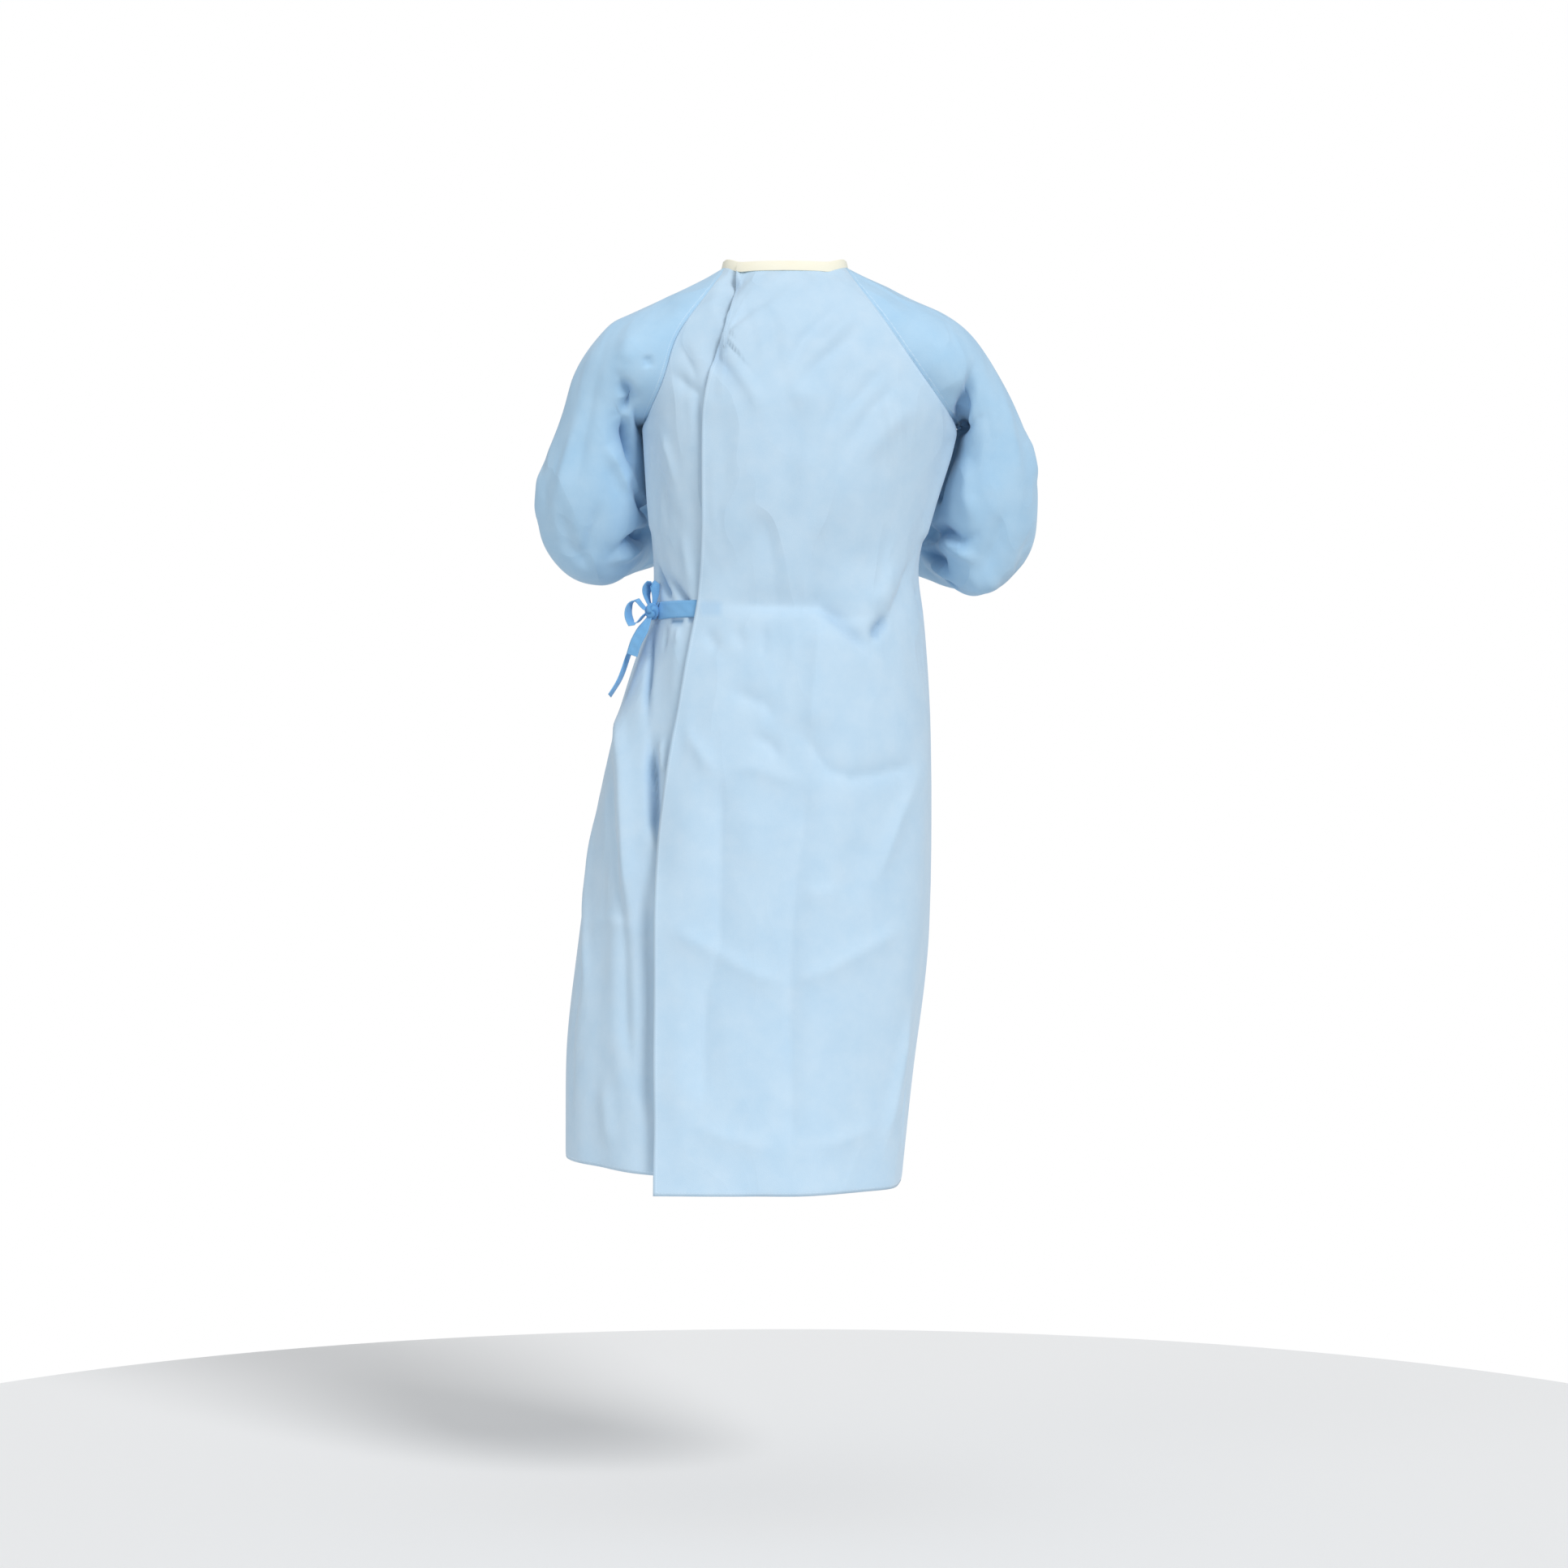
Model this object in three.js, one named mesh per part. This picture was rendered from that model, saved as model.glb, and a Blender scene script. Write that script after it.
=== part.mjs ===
// Surgical gown in its worn, hollow form, wrapped at the back and tied at the left of the waist.
// Millimetres, +Z up. The front faces +Y, the wearer's right is +X, and the origin is the middle of
// the neck opening, level with the top of the binding at the back.
import * as THREE from "three";

// Cloth and seams
const CLOTH_WALL = 1.4;
const SEAM_GAP = 0.3;
const LAYER_LIFT = 5;

// Body: reach of the cloth from the centre line at each height, and how square its rings are
const RING_POWER = 2 / 2.2;
const BODY_SECTIONS = [
  { z: -1200, left: 279, right: 146, back: 168, front: 168 },
  { z: -1030, left: 279, right: 164, back: 170, front: 168 },
  { z: -850, left: 261, right: 185, back: 170, front: 162 },
  { z: -697, left: 239, right: 188, back: 166, front: 156 },
  { z: -593, left: 217, right: 187, back: 156, front: 150 },
  { z: -480, left: 183, right: 181, back: 138, front: 142 },
  { z: -437, left: 168, right: 177, back: 130, front: 137 },
  { z: -386, left: 165, right: 169, back: 134, front: 139 },
  { z: -325, left: 171, right: 184, back: 142, front: 140 },
  { z: -260, left: 175, right: 204, back: 147, front: 137 },
  { z: -200, left: 178, right: 220, back: 146, front: 131 },
  { z: -155, left: 186, right: 222, back: 138, front: 122 },
  { z: -100, left: 184, right: 206, back: 121, front: 107 },
  { z: -60, left: 150, right: 166, back: 103, front: 93 },
  { z: -30, left: 110, right: 116, back: 84, front: 82 },
  { z: -10, left: 78, right: 80, back: 66, front: 72 },
];
const UNDERARM_Z = -203;
const NECK_BACK_Z = -10;
const NECK_FRONT_DROP = 52;
const NECK_SIDE_RISE = 10;
const HEM_Z = { leftSide: -1138, rightSide: -1167, innerEdge: -1160, outerEdge: -1172 };

// Edge of the outer wing, seen from behind
const WRAP_EDGE = [
  { z: -1200, x: -158 },
  { z: -850, x: -156 },
  { z: -730, x: -150 },
  { z: -570, x: -131 },
  { z: -430, x: -106 },
  { z: -330, x: -99 },
  { z: -206, x: -100 },
  { z: -128, x: -87 },
  { z: -80, x: -70 },
  { z: 0, x: -54 },
];
const WING_RISE = { fromAngle: 4, toAngle: 46 };
const WRAP_FLARE = { start: -560, full: -800, width: 60, depth: 9 };
const INNER_EDGE_X = { neck: 45, hem: 75 };

// Raglan seams on the back, seen from behind
const RAGLAN_BACK = [
  { z: -203, left: 178, right: 221 },
  { z: -196, left: 174, right: 212 },
  { z: -180, left: 165, right: 196 },
  { z: -150, left: 150, right: 172 },
  { z: -104, left: 139, right: 141 },
  { z: -60, left: 113, right: 112 },
  { z: -10, left: 74, right: 75 },
];
const RAGLAN_FRONT_ANGLE = 65;

// Largest folds of the body: a soft trough (depth below 0) or ridge along a line on the cloth
const BODY_FOLDS = [
  { side: -1, fromX: -166, fromZ: -470, toX: -158, toZ: -760, width: 17, depth: -11 },
  { side: -1, fromX: -208, fromZ: -600, toX: -190, toZ: -1150, width: 26, depth: 8 },
  { side: -1, fromX: -228, fromZ: -760, toX: -232, toZ: -1150, width: 22, depth: -8 },
  { side: -1, fromX: 168, fromZ: -640, toX: 128, toZ: -1160, width: 30, depth: 7 },
  { side: -1, fromX: 60, fromZ: -470, toX: 20, toZ: -1160, width: 34, depth: 5 },
  { side: -1, fromX: 140, fromZ: -380, toX: 105, toZ: -440, width: 26, depth: 7 },
  { side: -1, fromX: 150, fromZ: -190, toX: 20, toZ: -360, width: 30, depth: 6 },
  { side: 1, fromX: -120, fromZ: -470, toX: -150, toZ: -1150, width: 36, depth: 11 },
  { side: 1, fromX: -30, fromZ: -480, toX: -45, toZ: -1160, width: 34, depth: -9 },
  { side: 1, fromX: 70, fromZ: -470, toX: 80, toZ: -1160, width: 38, depth: 10 },
  { side: 1, fromX: 150, fromZ: -560, toX: 125, toZ: -1160, width: 28, depth: -7 },
];

// Sleeve sections: a point on the outer line, one on the body side, and reach behind and in front
const SLEEVE_LEFT = [
  { outX: -150, outY: 0, outZ: -39, inX: -190, inY: 4, inZ: -203, back: 99, front: 95 },
  { outX: -220, outY: 2, outZ: -72, inX: -186, inY: 6, inZ: -213, back: 93, front: 90 },
  { outX: -262, outY: 6, outZ: -121, inX: -183, inY: 8, inZ: -229, back: 84, front: 84 },
  { outX: -285, outY: 12, outZ: -190, inX: -181, inY: 12, inZ: -260, back: 77, front: 78 },
  { outX: -316, outY: 22, outZ: -278, inX: -179, inY: 20, inZ: -302, back: 73, front: 72 },
  { outX: -314, outY: 44, outZ: -338, inX: -176, inY: 50, inZ: -342, back: 73, front: 46 },
  { outX: -268, outY: 132, outZ: -343, inX: -165, inY: 100, inZ: -350, back: 50, front: 50 },
  { outX: -195, outY: 215, outZ: -300, inX: -120, inY: 165, inZ: -310, back: 48, front: 46 },
  { outX: -124, outY: 282, outZ: -257, inX: -68, inY: 240, inZ: -264, back: 35, front: 35 },
];
const SLEEVE_RIGHT = [
  { outX: 152, outY: 0, outZ: -36, inX: 233, inY: 4, inZ: -203, back: 102, front: 105 },
  { outX: 226, outY: 2, outZ: -73, inX: 228, inY: 6, inZ: -216, back: 92, front: 93 },
  { outX: 268, outY: 6, outZ: -128, inX: 221, inY: 8, inZ: -237, back: 84, front: 84 },
  { outX: 300, outY: 12, outZ: -186, inX: 209, inY: 12, inZ: -264, back: 77, front: 78 },
  { outX: 324, outY: 20, outZ: -268, inX: 197, inY: 18, inZ: -300, back: 74, front: 74 },
  { outX: 321, outY: 44, outZ: -350, inX: 184, inY: 50, inZ: -350, back: 80, front: 48 },
  { outX: 270, outY: 132, outZ: -357, inX: 166, inY: 100, inZ: -364, back: 54, front: 52 },
  { outX: 197, outY: 215, outZ: -314, inX: 122, inY: 165, inZ: -322, back: 48, front: 46 },
  { outX: 126, outY: 282, outZ: -270, inX: 70, inY: 240, inZ: -277, back: 35, front: 35 },
];
// Largest folds of a sleeve, between places told by section number and angle round the arm
const SLEEVE_FOLDS = [
  { fromAt: 2.2, fromTurn: 95, toAt: 4.4, toTurn: 130, width: 17, depth: -9 },
  { fromAt: 5.5, fromTurn: 60, toAt: 5.7, toTurn: 170, width: 16, depth: -9 },
  { fromAt: 6.2, fromTurn: 100, toAt: 6.0, toTurn: 215, width: 15, depth: -9 },
  { fromAt: 6.0, fromTurn: 225, toAt: 5.9, toTurn: 320, width: 15, depth: -8 },
  { fromAt: 3.0, fromTurn: 220, toAt: 5.0, toTurn: 250, width: 18, depth: -7 },
];
const SLEEVE_TOP_TURN = 24;
const CUFF_LENGTH = 65;
const CUFF_WALL = 2;
const CUFF_TAPER = 0.9;

// Neck binding
const BINDING_HEIGHT = 9.6;
const BINDING_WALL = 2;
const BINDING_LEAN = 2;

// Waist tie: a strap sewn under the outer wing and another in the left side seam, tied in a bow
const TIE_WIDTH = 22;
const TIE_WALL = 1.4;
const TIE_Z = -441;
const TIE_LOW = TIE_Z - TIE_WIDTH / 2;
const TIE_HIGH = TIE_Z + TIE_WIDTH / 2;
const TIE_LIFT = 0.5;
const KNOT_RADII = { across: 9, deep: 10, high: 11 };
const KNOT_GATHER = { share: 0.3, width: 0.45 };
const TIE_BACK = { fromColumn: 7, toColumn: 11 };
const TIE_FRONT = { fromColumn: 11, toColumn: 14 };
// Rows of a strap from the knot's middle: place along X, Y and Z, and the direction of its width
const LOOP_SIDE = { width: 17, leanX: 0.6, leanZ: 0.35, steps: 14, looped: true };
const LOOP_SIDE_ROUTE = [
  { x: -9.9, y: -2, z: 3.0 },
  { x: -19, y: -3, z: 14 },
  { x: -27, y: -4, z: 9 },
  { x: -30, y: -4, z: -4 },
  { x: -25, y: -3, z: -16 },
  { x: -17, y: -2, z: -13 },
  { x: -9.8, y: -1, z: -4 },
];
const LOOP_UP = { width: 18, leanX: 0.85, leanZ: 0.1, steps: 12, looped: true };
const LOOP_UP_ROUTE = [
  { x: -3, y: 3, z: 10.7 },
  { x: -6, y: 2, z: 24 },
  { x: -3, y: 1, z: 34 },
  { x: 2, y: 1, z: 35 },
  { x: 3.5, y: 2, z: 25 },
  { x: 2.5, y: 3, z: 11.2 },
];
const END_SHORT = { width: 18, leanX: -1.2, leanZ: 0.75, steps: 8, looped: false };
const END_SHORT_ROUTE = [
  { x: -3.5, y: -4.7, z: -9.3 },
  { x: -13, y: -9, z: -27 },
  { x: -20, y: -9, z: -40 },
  { x: -25, y: -8, z: -56 },
];
const END_LONG = { width: 18, leanX: 0.35, leanZ: 0.15, steps: 10, looped: false };
const END_LONG_ROUTE = [
  { x: -4, y: 4.6, z: -9.0 },
  { x: -16, y: 11, z: -30 },
  { x: -29, y: 12, z: -52 },
  { x: -35, y: 12, z: -70 },
  { x: -42, y: 10, z: -88 },
  { x: -54, y: 8, z: -107 },
];

// Mesh steps
const SKIRT_ROWS = 16;
const WAIST_ROWS = 6;
const YOKE_ROWS = [0.05, 0.12, 0.23, 0.37, 0.52, 0.68, 0.84, 1];
const FRONT_COLUMNS = 18;
const LEFT_COLUMNS = 14;
const RIGHT_COLUMNS = 18;
const SLEEVE_TOP_STEPS = 4;
const SLEEVE_STEPS = 3;
const CUFF_STEPS = 3;
const KNOT_STEPS = { around: 14, up: 10 };
const LINE_STEPS = [0, 0.25, 0.5, 0.75, 1];
const NUDGE = 0.5;

// Colours of the cloths
const BODY_COLOUR = "#c6def2";
const SLEEVE_COLOUR = "#a9d1ee";
const BINDING_COLOUR = "#faf6e2";
const CUFF_COLOUR = "#eef1f3";
const TIE_COLOUR = "#6fb0e0";
const CLOTH_ROUGHNESS = 0.85;
const KNIT_ROUGHNESS = 0.95;

const RIGHT = 0;
const LEFT = 180;
const radians = THREE.MathUtils.degToRad;
const degrees = THREE.MathUtils.radToDeg;
const mix = THREE.MathUtils.lerp;
const ease = THREE.MathUtils.smoothstep;

// Value of one column of a table at a height, on a curve through its rows without overshoot.
function atHeight(table, z, column) {
  const rows = [...table].sort((a, b) => a.z - b.z);
  const last = rows.length - 1;
  const height = Math.min(Math.max(z, rows[0].z), rows[last].z);
  const i = Math.min(rows.findIndex((row, k) => k === last - 1 || height <= rows[k + 1].z), last - 1);
  const slope = (k) => (rows[k + 1][column] - rows[k][column]) / (rows[k + 1].z - rows[k].z);
  const tangent = (k) => {
    if (k === 0) return slope(0);
    if (k === last) return slope(last - 1);
    const product = slope(k - 1) * slope(k);
    return product <= 0 ? 0 : (2 * product) / (slope(k - 1) + slope(k));
  };
  const span = rows[i + 1].z - rows[i].z;
  const t = (height - rows[i].z) / span;
  const bend = (1 - t) * (1 - t);
  return bend * (1 + 2 * t) * rows[i][column] + bend * t * span * tangent(i)
    + t * t * (3 - 2 * t) * rows[i + 1][column] - t * t * (1 - t) * span * tangent(i + 1);
}

// Point of the plain body at an angle (0 right, 90 back, 180 left, 270 front) and a height.
function bodyPoint(angle, z) {
  const c = Math.cos(radians(angle));
  const s = Math.sin(radians(angle));
  const across = atHeight(BODY_SECTIONS, z, c >= 0 ? "right" : "left");
  const deep = atHeight(BODY_SECTIONS, z, s >= 0 ? "back" : "front");
  const x = Math.sign(c) * across * Math.abs(c) ** RING_POWER;
  const y = -Math.sign(s) * deep * Math.abs(s) ** RING_POWER;
  return new THREE.Vector3(x, y, z);
}

// Angle at which the body's ring has a given x, behind (side -1) or in front (side 1).
function angleAt(x, z, side) {
  const across = atHeight(BODY_SECTIONS, z, x >= 0 ? "right" : "left");
  const share = Math.min(Math.abs(x) / across, 1) ** (1 / RING_POWER);
  const angle = degrees(Math.acos(Math.sign(x) * share));
  return side < 0 ? angle : -angle;
}

// Distance from a point to a line through places on the cloth.
function distanceTo(point, line) {
  const nearest = new THREE.Vector3();
  let least = Infinity;
  for (let i = 0; i + 1 < line.length; i += 1) {
    new THREE.Line3(line[i], line[i + 1]).closestPointToPoint(point, true, nearest);
    least = Math.min(least, nearest.distanceTo(point));
  }
  return least;
}

function foldHeight(point, folds) {
  return folds.reduce((sum, fold) => {
    const away = distanceTo(point, fold.line) / fold.width;
    return sum + fold.depth * Math.exp(-away * away);
  }, 0);
}

const bodyFolds = BODY_FOLDS.map((fold) => ({
  ...fold,
  line: LINE_STEPS.map((t) => {
    const z = mix(fold.fromZ, fold.toZ, t);
    return bodyPoint(angleAt(mix(fold.fromX, fold.toX, t), z, fold.side), z);
  }),
}));

function normalOf(surface, angle, z) {
  const around = surface(angle + NUDGE, z).sub(surface(angle - NUDGE, z));
  const up = surface(angle, z + NUDGE).sub(surface(angle, z - NUDGE));
  return up.cross(around).normalize();
}

// Body with its folds, and the same lifted outwards.
function creased(angle, z) {
  const point = bodyPoint(angle, z);
  return point.clone().addScaledVector(normalOf(bodyPoint, angle, z), foldHeight(point, bodyFolds));
}

function lifted(angle, z, lift) {
  return creased(angle, z).addScaledVector(normalOf(creased, angle, z), lift);
}

const neckZ = (angle) => {
  const front = Math.max(-Math.sin(radians(angle)), 0);
  const side = ease(Math.abs(Math.cos(radians(angle))), 0.55, 1);
  const drop = NECK_FRONT_DROP * (1 - Math.sqrt(Math.max(1 - front * front, 0)));
  return NECK_BACK_Z + NECK_SIDE_RISE * side - drop;
};

// Outer wing: clear of the inner one, with its free edge standing off lower down.
function wingLift(angle, z) {
  const edge = angleAt(atHeight(WRAP_EDGE, z, "x"), z, -1);
  const radius = atHeight(BODY_SECTIONS, z, "back");
  const toEdge = Math.max(edge - angle, 0) * radians(1) * radius;
  const flare = WRAP_FLARE.depth * (1 - ease(z, WRAP_FLARE.full, WRAP_FLARE.start));
  const rise = LAYER_LIFT * ease(angle, WING_RISE.fromAngle, WING_RISE.toAngle);
  return rise + flare * Math.exp(-((toEdge / WRAP_FLARE.width) ** 2));
}
const outerWing = (angle, z) => lifted(angle, z, wingLift(angle, z));

// Seam angles from a share of the way up the yoke, above the underarm.
const yokeZ = (share, angle) => mix(UNDERARM_Z, neckZ(angle), share);
function raglanBack(share, side) {
  const z = mix(UNDERARM_Z, NECK_BACK_Z, share);
  const x = side < 0 ? -atHeight(RAGLAN_BACK, z, "left") : atHeight(RAGLAN_BACK, z, "right");
  return share === 0 ? (side < 0 ? LEFT : RIGHT) : angleAt(x, z, -1);
}
function raglanFront(share, side) {
  const turn = RAGLAN_FRONT_ANGLE * (1 - (1 - share) ** 2);
  return side < 0 ? LEFT + turn : -turn;
}

// A panel of the body: rows from the hem to the waist tie, on to the underarm and up to the neck.
function panelGrid({ columns, from, to, hemFrom, hemTo, surface }) {
  const points = [];
  const normals = [];
  const row = (heightAt, yoke) => {
    const line = [];
    const facing = [];
    for (let c = 0; c <= columns; c += 1) {
      const u = c / columns;
      const flatZ = heightAt(mix(hemFrom, hemTo, ease(u, 0, 1)));
      const angle = mix(from(flatZ, yoke), to(flatZ, yoke), u);
      const z = yoke > 0 ? yokeZ(yoke, angle) : flatZ;
      line.push(surface(angle, z));
      facing.push(normalOf(surface, angle, z));
    }
    points.push(line);
    normals.push(facing);
  };
  for (let r = 0; r <= SKIRT_ROWS; r += 1) row((hem) => mix(hem, TIE_LOW, r / SKIRT_ROWS), 0);
  for (let r = 0; r <= WAIST_ROWS; r += 1) row(() => mix(TIE_HIGH, UNDERARM_Z, r / WAIST_ROWS), 0);
  YOKE_ROWS.forEach((share) => row(() => UNDERARM_Z, share));
  return { points, normals };
}

// Half of the seam gap, taken from a line of points on the side that their neighbours lie on.
function openSeam(line, neighbours) {
  return line.map((point, i) => {
    const before = line[Math.max(i - 1, 0)];
    const after = line[Math.min(i + 1, line.length - 1)];
    const run = after.clone().sub(before).normalize();
    const inward = neighbours[i].clone().sub(point);
    inward.addScaledVector(run, -inward.dot(run)).normalize();
    return point.clone().addScaledVector(inward, SEAM_GAP / 2);
  });
}

function openSides({ points, normals }, first, last) {
  const end = points[0].length - 1;
  const lower = (r, c) => points[Math.max(r - 1, 0)][c];
  if (first) {
    const line = openSeam(points.map((row) => row[0]), points.map((row, r) => lower(r, 1)));
    line.forEach((point, r) => { points[r][0] = point; });
  }
  if (last) {
    const line = openSeam(points.map((row) => row[end]), points.map((row, r) => lower(r, end - 1)));
    line.forEach((point, r) => { points[r][end] = point; });
  }
  return { points, normals };
}

// Closed wall on a grid: the grid is its inner face, and the outer face lies a wall further out.
function wallGeometry({ points, normals }, wall, closed = false) {
  const rows = points.length;
  const columns = points[0].length;
  const inner = points.flat();
  const facing = normals.flat();
  const outer = inner.map((point, i) => point.clone().addScaledVector(facing[i], wall));
  const places = [...inner, ...outer];
  const index = [];
  const quad = (a, b, c, d) => index.push(a, b, c, a, c, d);
  const shortest = (a, b, c, d) => {
    const straight = places[a].distanceTo(places[c]) <= places[b].distanceTo(places[d]);
    return straight ? [a, b, c, d] : [b, c, d, a];
  };
  const at = (r, c) => r * columns + (c % columns);
  const far = rows * columns;
  const spans = closed ? columns : columns - 1;
  for (let r = 0; r + 1 < rows; r += 1) {
    for (let c = 0; c < spans; c += 1) {
      const [a, b, d, e] = shortest(at(r, c), at(r, c + 1), at(r + 1, c + 1), at(r + 1, c));
      quad(a, b, d, e);
      quad(a + far, e + far, d + far, b + far);
    }
  }
  const rim = (a, b) => quad(...shortest(b, a, a + far, b + far));
  for (let c = 0; c < spans; c += 1) {
    rim(at(0, c), at(0, c + 1));
    rim(at(rows - 1, c + 1), at(rows - 1, c));
  }
  for (let r = 0; r + 1 < rows && !closed; r += 1) {
    rim(at(r + 1, 0), at(r, 0));
    rim(at(r, columns - 1), at(r + 1, columns - 1));
  }
  const geometry = new THREE.BufferGeometry();
  const coordinates = places.flatMap((point) => point.toArray());
  geometry.setAttribute("position", new THREE.Float32BufferAttribute(coordinates, 3));
  geometry.setIndex(index);
  geometry.computeVertexNormals();
  return geometry;
}

function clothPiece(name, geometry, color, roughness = CLOTH_ROUGHNESS) {
  const material = new THREE.MeshStandardMaterial({ color, roughness, metalness: 0 });
  const piece = new THREE.Mesh(geometry, material);
  piece.name = name;
  return piece;
}

function frontPanel() {
  const grid = panelGrid({
    columns: FRONT_COLUMNS,
    from: (z, yoke) => raglanFront(yoke, -1),
    to: (z, yoke) => raglanFront(yoke, 1) + 360,
    hemFrom: HEM_Z.leftSide,
    hemTo: HEM_Z.rightSide,
    surface: creased,
  });
  return openSides(grid, true, true);
}

function innerEdgeAngle(z) {
  const share = (NECK_BACK_Z - z) / (NECK_BACK_Z - HEM_Z.innerEdge);
  return angleAt(mix(INNER_EDGE_X.neck, INNER_EDGE_X.hem, share), z, -1);
}

function backPanelLeft() {
  const grid = panelGrid({
    columns: LEFT_COLUMNS,
    from: (z, yoke) => innerEdgeAngle(yoke > 0 ? mix(UNDERARM_Z, NECK_BACK_Z, yoke) : z),
    to: (z, yoke) => raglanBack(yoke, -1),
    hemFrom: HEM_Z.innerEdge,
    hemTo: HEM_Z.leftSide,
    surface: creased,
  });
  return openSides(grid, false, true);
}

function outerEdgeAngle(z) {
  return angleAt(atHeight(WRAP_EDGE, z, "x"), z, -1);
}

function backPanelRight() {
  const grid = panelGrid({
    columns: RIGHT_COLUMNS,
    from: (z, yoke) => raglanBack(yoke, 1),
    to: (z, yoke) => outerEdgeAngle(yoke > 0 ? mix(UNDERARM_Z, NECK_BACK_Z, yoke) : z),
    hemFrom: HEM_Z.rightSide,
    hemTo: HEM_Z.outerEdge,
    surface: outerWing,
  });
  return openSides(grid, true, false);
}

// Loop of the raglan seams and the neck between them: up the back, over the neck, down the front.
function armholeLoop(side) {
  const surface = side < 0 ? creased : outerWing;
  const shares = [0, ...YOKE_ROWS];
  const places = shares.map((share) => {
    const angle = raglanBack(share, side);
    return { angle, z: yokeZ(share, angle), surface };
  });
  const neckBack = raglanBack(1, side);
  const neckFront = raglanFront(1, side);
  for (let i = 1; i < SLEEVE_TOP_STEPS; i += 1) {
    const angle = mix(neckBack, neckFront, i / SLEEVE_TOP_STEPS);
    places.push({ angle, z: neckZ(angle), surface });
  }
  [...YOKE_ROWS].reverse().forEach((share) => {
    const angle = raglanFront(share, side);
    places.push({ angle, z: yokeZ(share, angle), surface: creased });
  });
  return places.map((place) => ({
    point: place.surface(place.angle, place.z),
    normal: normalOf(place.surface, place.angle, place.z),
  }));
}

// Turns round the arm for the loop's points: 180 at the underarm, through 90 behind and 0 on top.
function sleeveTurns(loop) {
  const yoke = YOKE_ROWS.length;
  const span = (from, to) => {
    let length = 0;
    const lengths = [0];
    for (let i = from; i < to; i += 1) {
      length += loop[i].point.distanceTo(loop[(i + 1) % loop.length].point);
      lengths.push(length);
    }
    return lengths.map((value) => value / length);
  };
  const behind = span(0, yoke).map((share) => mix(180, SLEEVE_TOP_TURN, share));
  const neck = span(yoke, yoke + SLEEVE_TOP_STEPS);
  const top = neck.map((share) => mix(SLEEVE_TOP_TURN, -SLEEVE_TOP_TURN, share));
  const down = span(yoke + SLEEVE_TOP_STEPS, loop.length);
  const front = down.map((share) => mix(-SLEEVE_TOP_TURN, -180, share));
  return [...behind, ...top.slice(1), ...front.slice(1, -1)];
}

// Ring of a sleeve section at the given turns, square to the way the arm runs.
function sleeveRing(section, run, turns, side) {
  const out = new THREE.Vector3(section.outX, section.outY, section.outZ);
  const inside = new THREE.Vector3(section.inX, section.inY, section.inZ);
  const middle = out.clone().add(inside).multiplyScalar(0.5);
  const half = out.clone().sub(middle);
  const behind = half.clone().cross(run).normalize().multiplyScalar(-side);
  return turns.map((turn) => {
    const reach = Math.sin(radians(turn)) * (turn >= 0 ? section.back : section.front);
    return middle.clone().addScaledVector(half, Math.cos(radians(turn))).addScaledVector(behind, reach);
  });
}

function sectionMiddle(section) {
  return new THREE.Vector3(
    (section.outX + section.inX) / 2,
    (section.outY + section.inY) / 2,
    (section.outZ + section.inZ) / 2,
  );
}

// Grid of a sleeve, from the armhole to the wrist, along curves through its sections.
function sleeveGrid(sections, side) {
  const loop = armholeLoop(side);
  const turns = sleeveTurns(loop);
  const middles = sections.map(sectionMiddle);
  const rings = sections.map((section, i) => {
    const before = middles[Math.max(i - 1, 0)];
    const after = middles[Math.min(i + 1, middles.length - 1)];
    return sleeveRing(section, after.clone().sub(before).normalize(), turns, side);
  });
  const ribs = turns.map((turn, c) => {
    const knots = [loop[c].point, ...rings.map((ring) => ring[c])];
    return new THREE.CatmullRomCurve3(knots, false, "centripetal");
  });
  const place = (at, turn) => {
    const wanted = turn > 180 ? turn - 360 : turn;
    const order = turns.map((value, c) => ({ c, gap: Math.abs(value - wanted) }));
    const nearest = order.reduce((best, next) => (next.gap < best.gap ? next : best));
    return ribs[nearest.c].getPoint(at / sections.length);
  };
  const folds = SLEEVE_FOLDS.map((fold) => ({
    ...fold,
    line: LINE_STEPS.map((t) => {
      const turn = mix(fold.fromTurn, fold.toTurn, t);
      return place(mix(fold.fromAt, fold.toAt, t), turn);
    }),
  }));
  const steps = sections.length * SLEEVE_STEPS;
  const plain = [];
  for (let r = 0; r <= steps; r += 1) plain.push(ribs.map((rib) => rib.getPoint(r / steps)));
  const plainNormals = ringNormals(plain, side);
  const points = plain.map((row, r) => row.map((point, c) => {
    const fade = ease(r, 0, SLEEVE_STEPS) * (1 - ease(r, steps - SLEEVE_STEPS, steps));
    return point.clone().addScaledVector(plainNormals[r][c], fade * foldHeight(point, folds));
  }));
  const normals = ringNormals(points, side);
  normals[0] = loop.map(({ normal }) => normal);
  const wrapped = [...points[0], points[0][0]];
  const opened = openSeam(wrapped, [...points[1], points[1][0]]);
  points[0] = opened.slice(0, -1);
  return { points, normals };
}

// Outward normals of a tube's grid, from its neighbours along and around.
function ringNormals(rows, side) {
  return rows.map((row, r) => row.map((point, c) => {
    const count = row.length;
    const along = rows[Math.min(r + 1, rows.length - 1)][c].clone().sub(rows[Math.max(r - 1, 0)][c]);
    const around = row[(c + 1) % count].clone().sub(row[(c + count - 1) % count]);
    return along.cross(around).normalize().multiplyScalar(side);
  }));
}

function flip({ points, normals }) {
  const reverse = (row) => [...row].reverse();
  return { points: points.map(reverse), normals: normals.map(reverse) };
}

function sleevePiece(name, grid, side) {
  const facing = side < 0 ? flip(grid) : grid;
  return clothPiece(name, wallGeometry(facing, CLOTH_WALL, true), SLEEVE_COLOUR);
}

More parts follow.
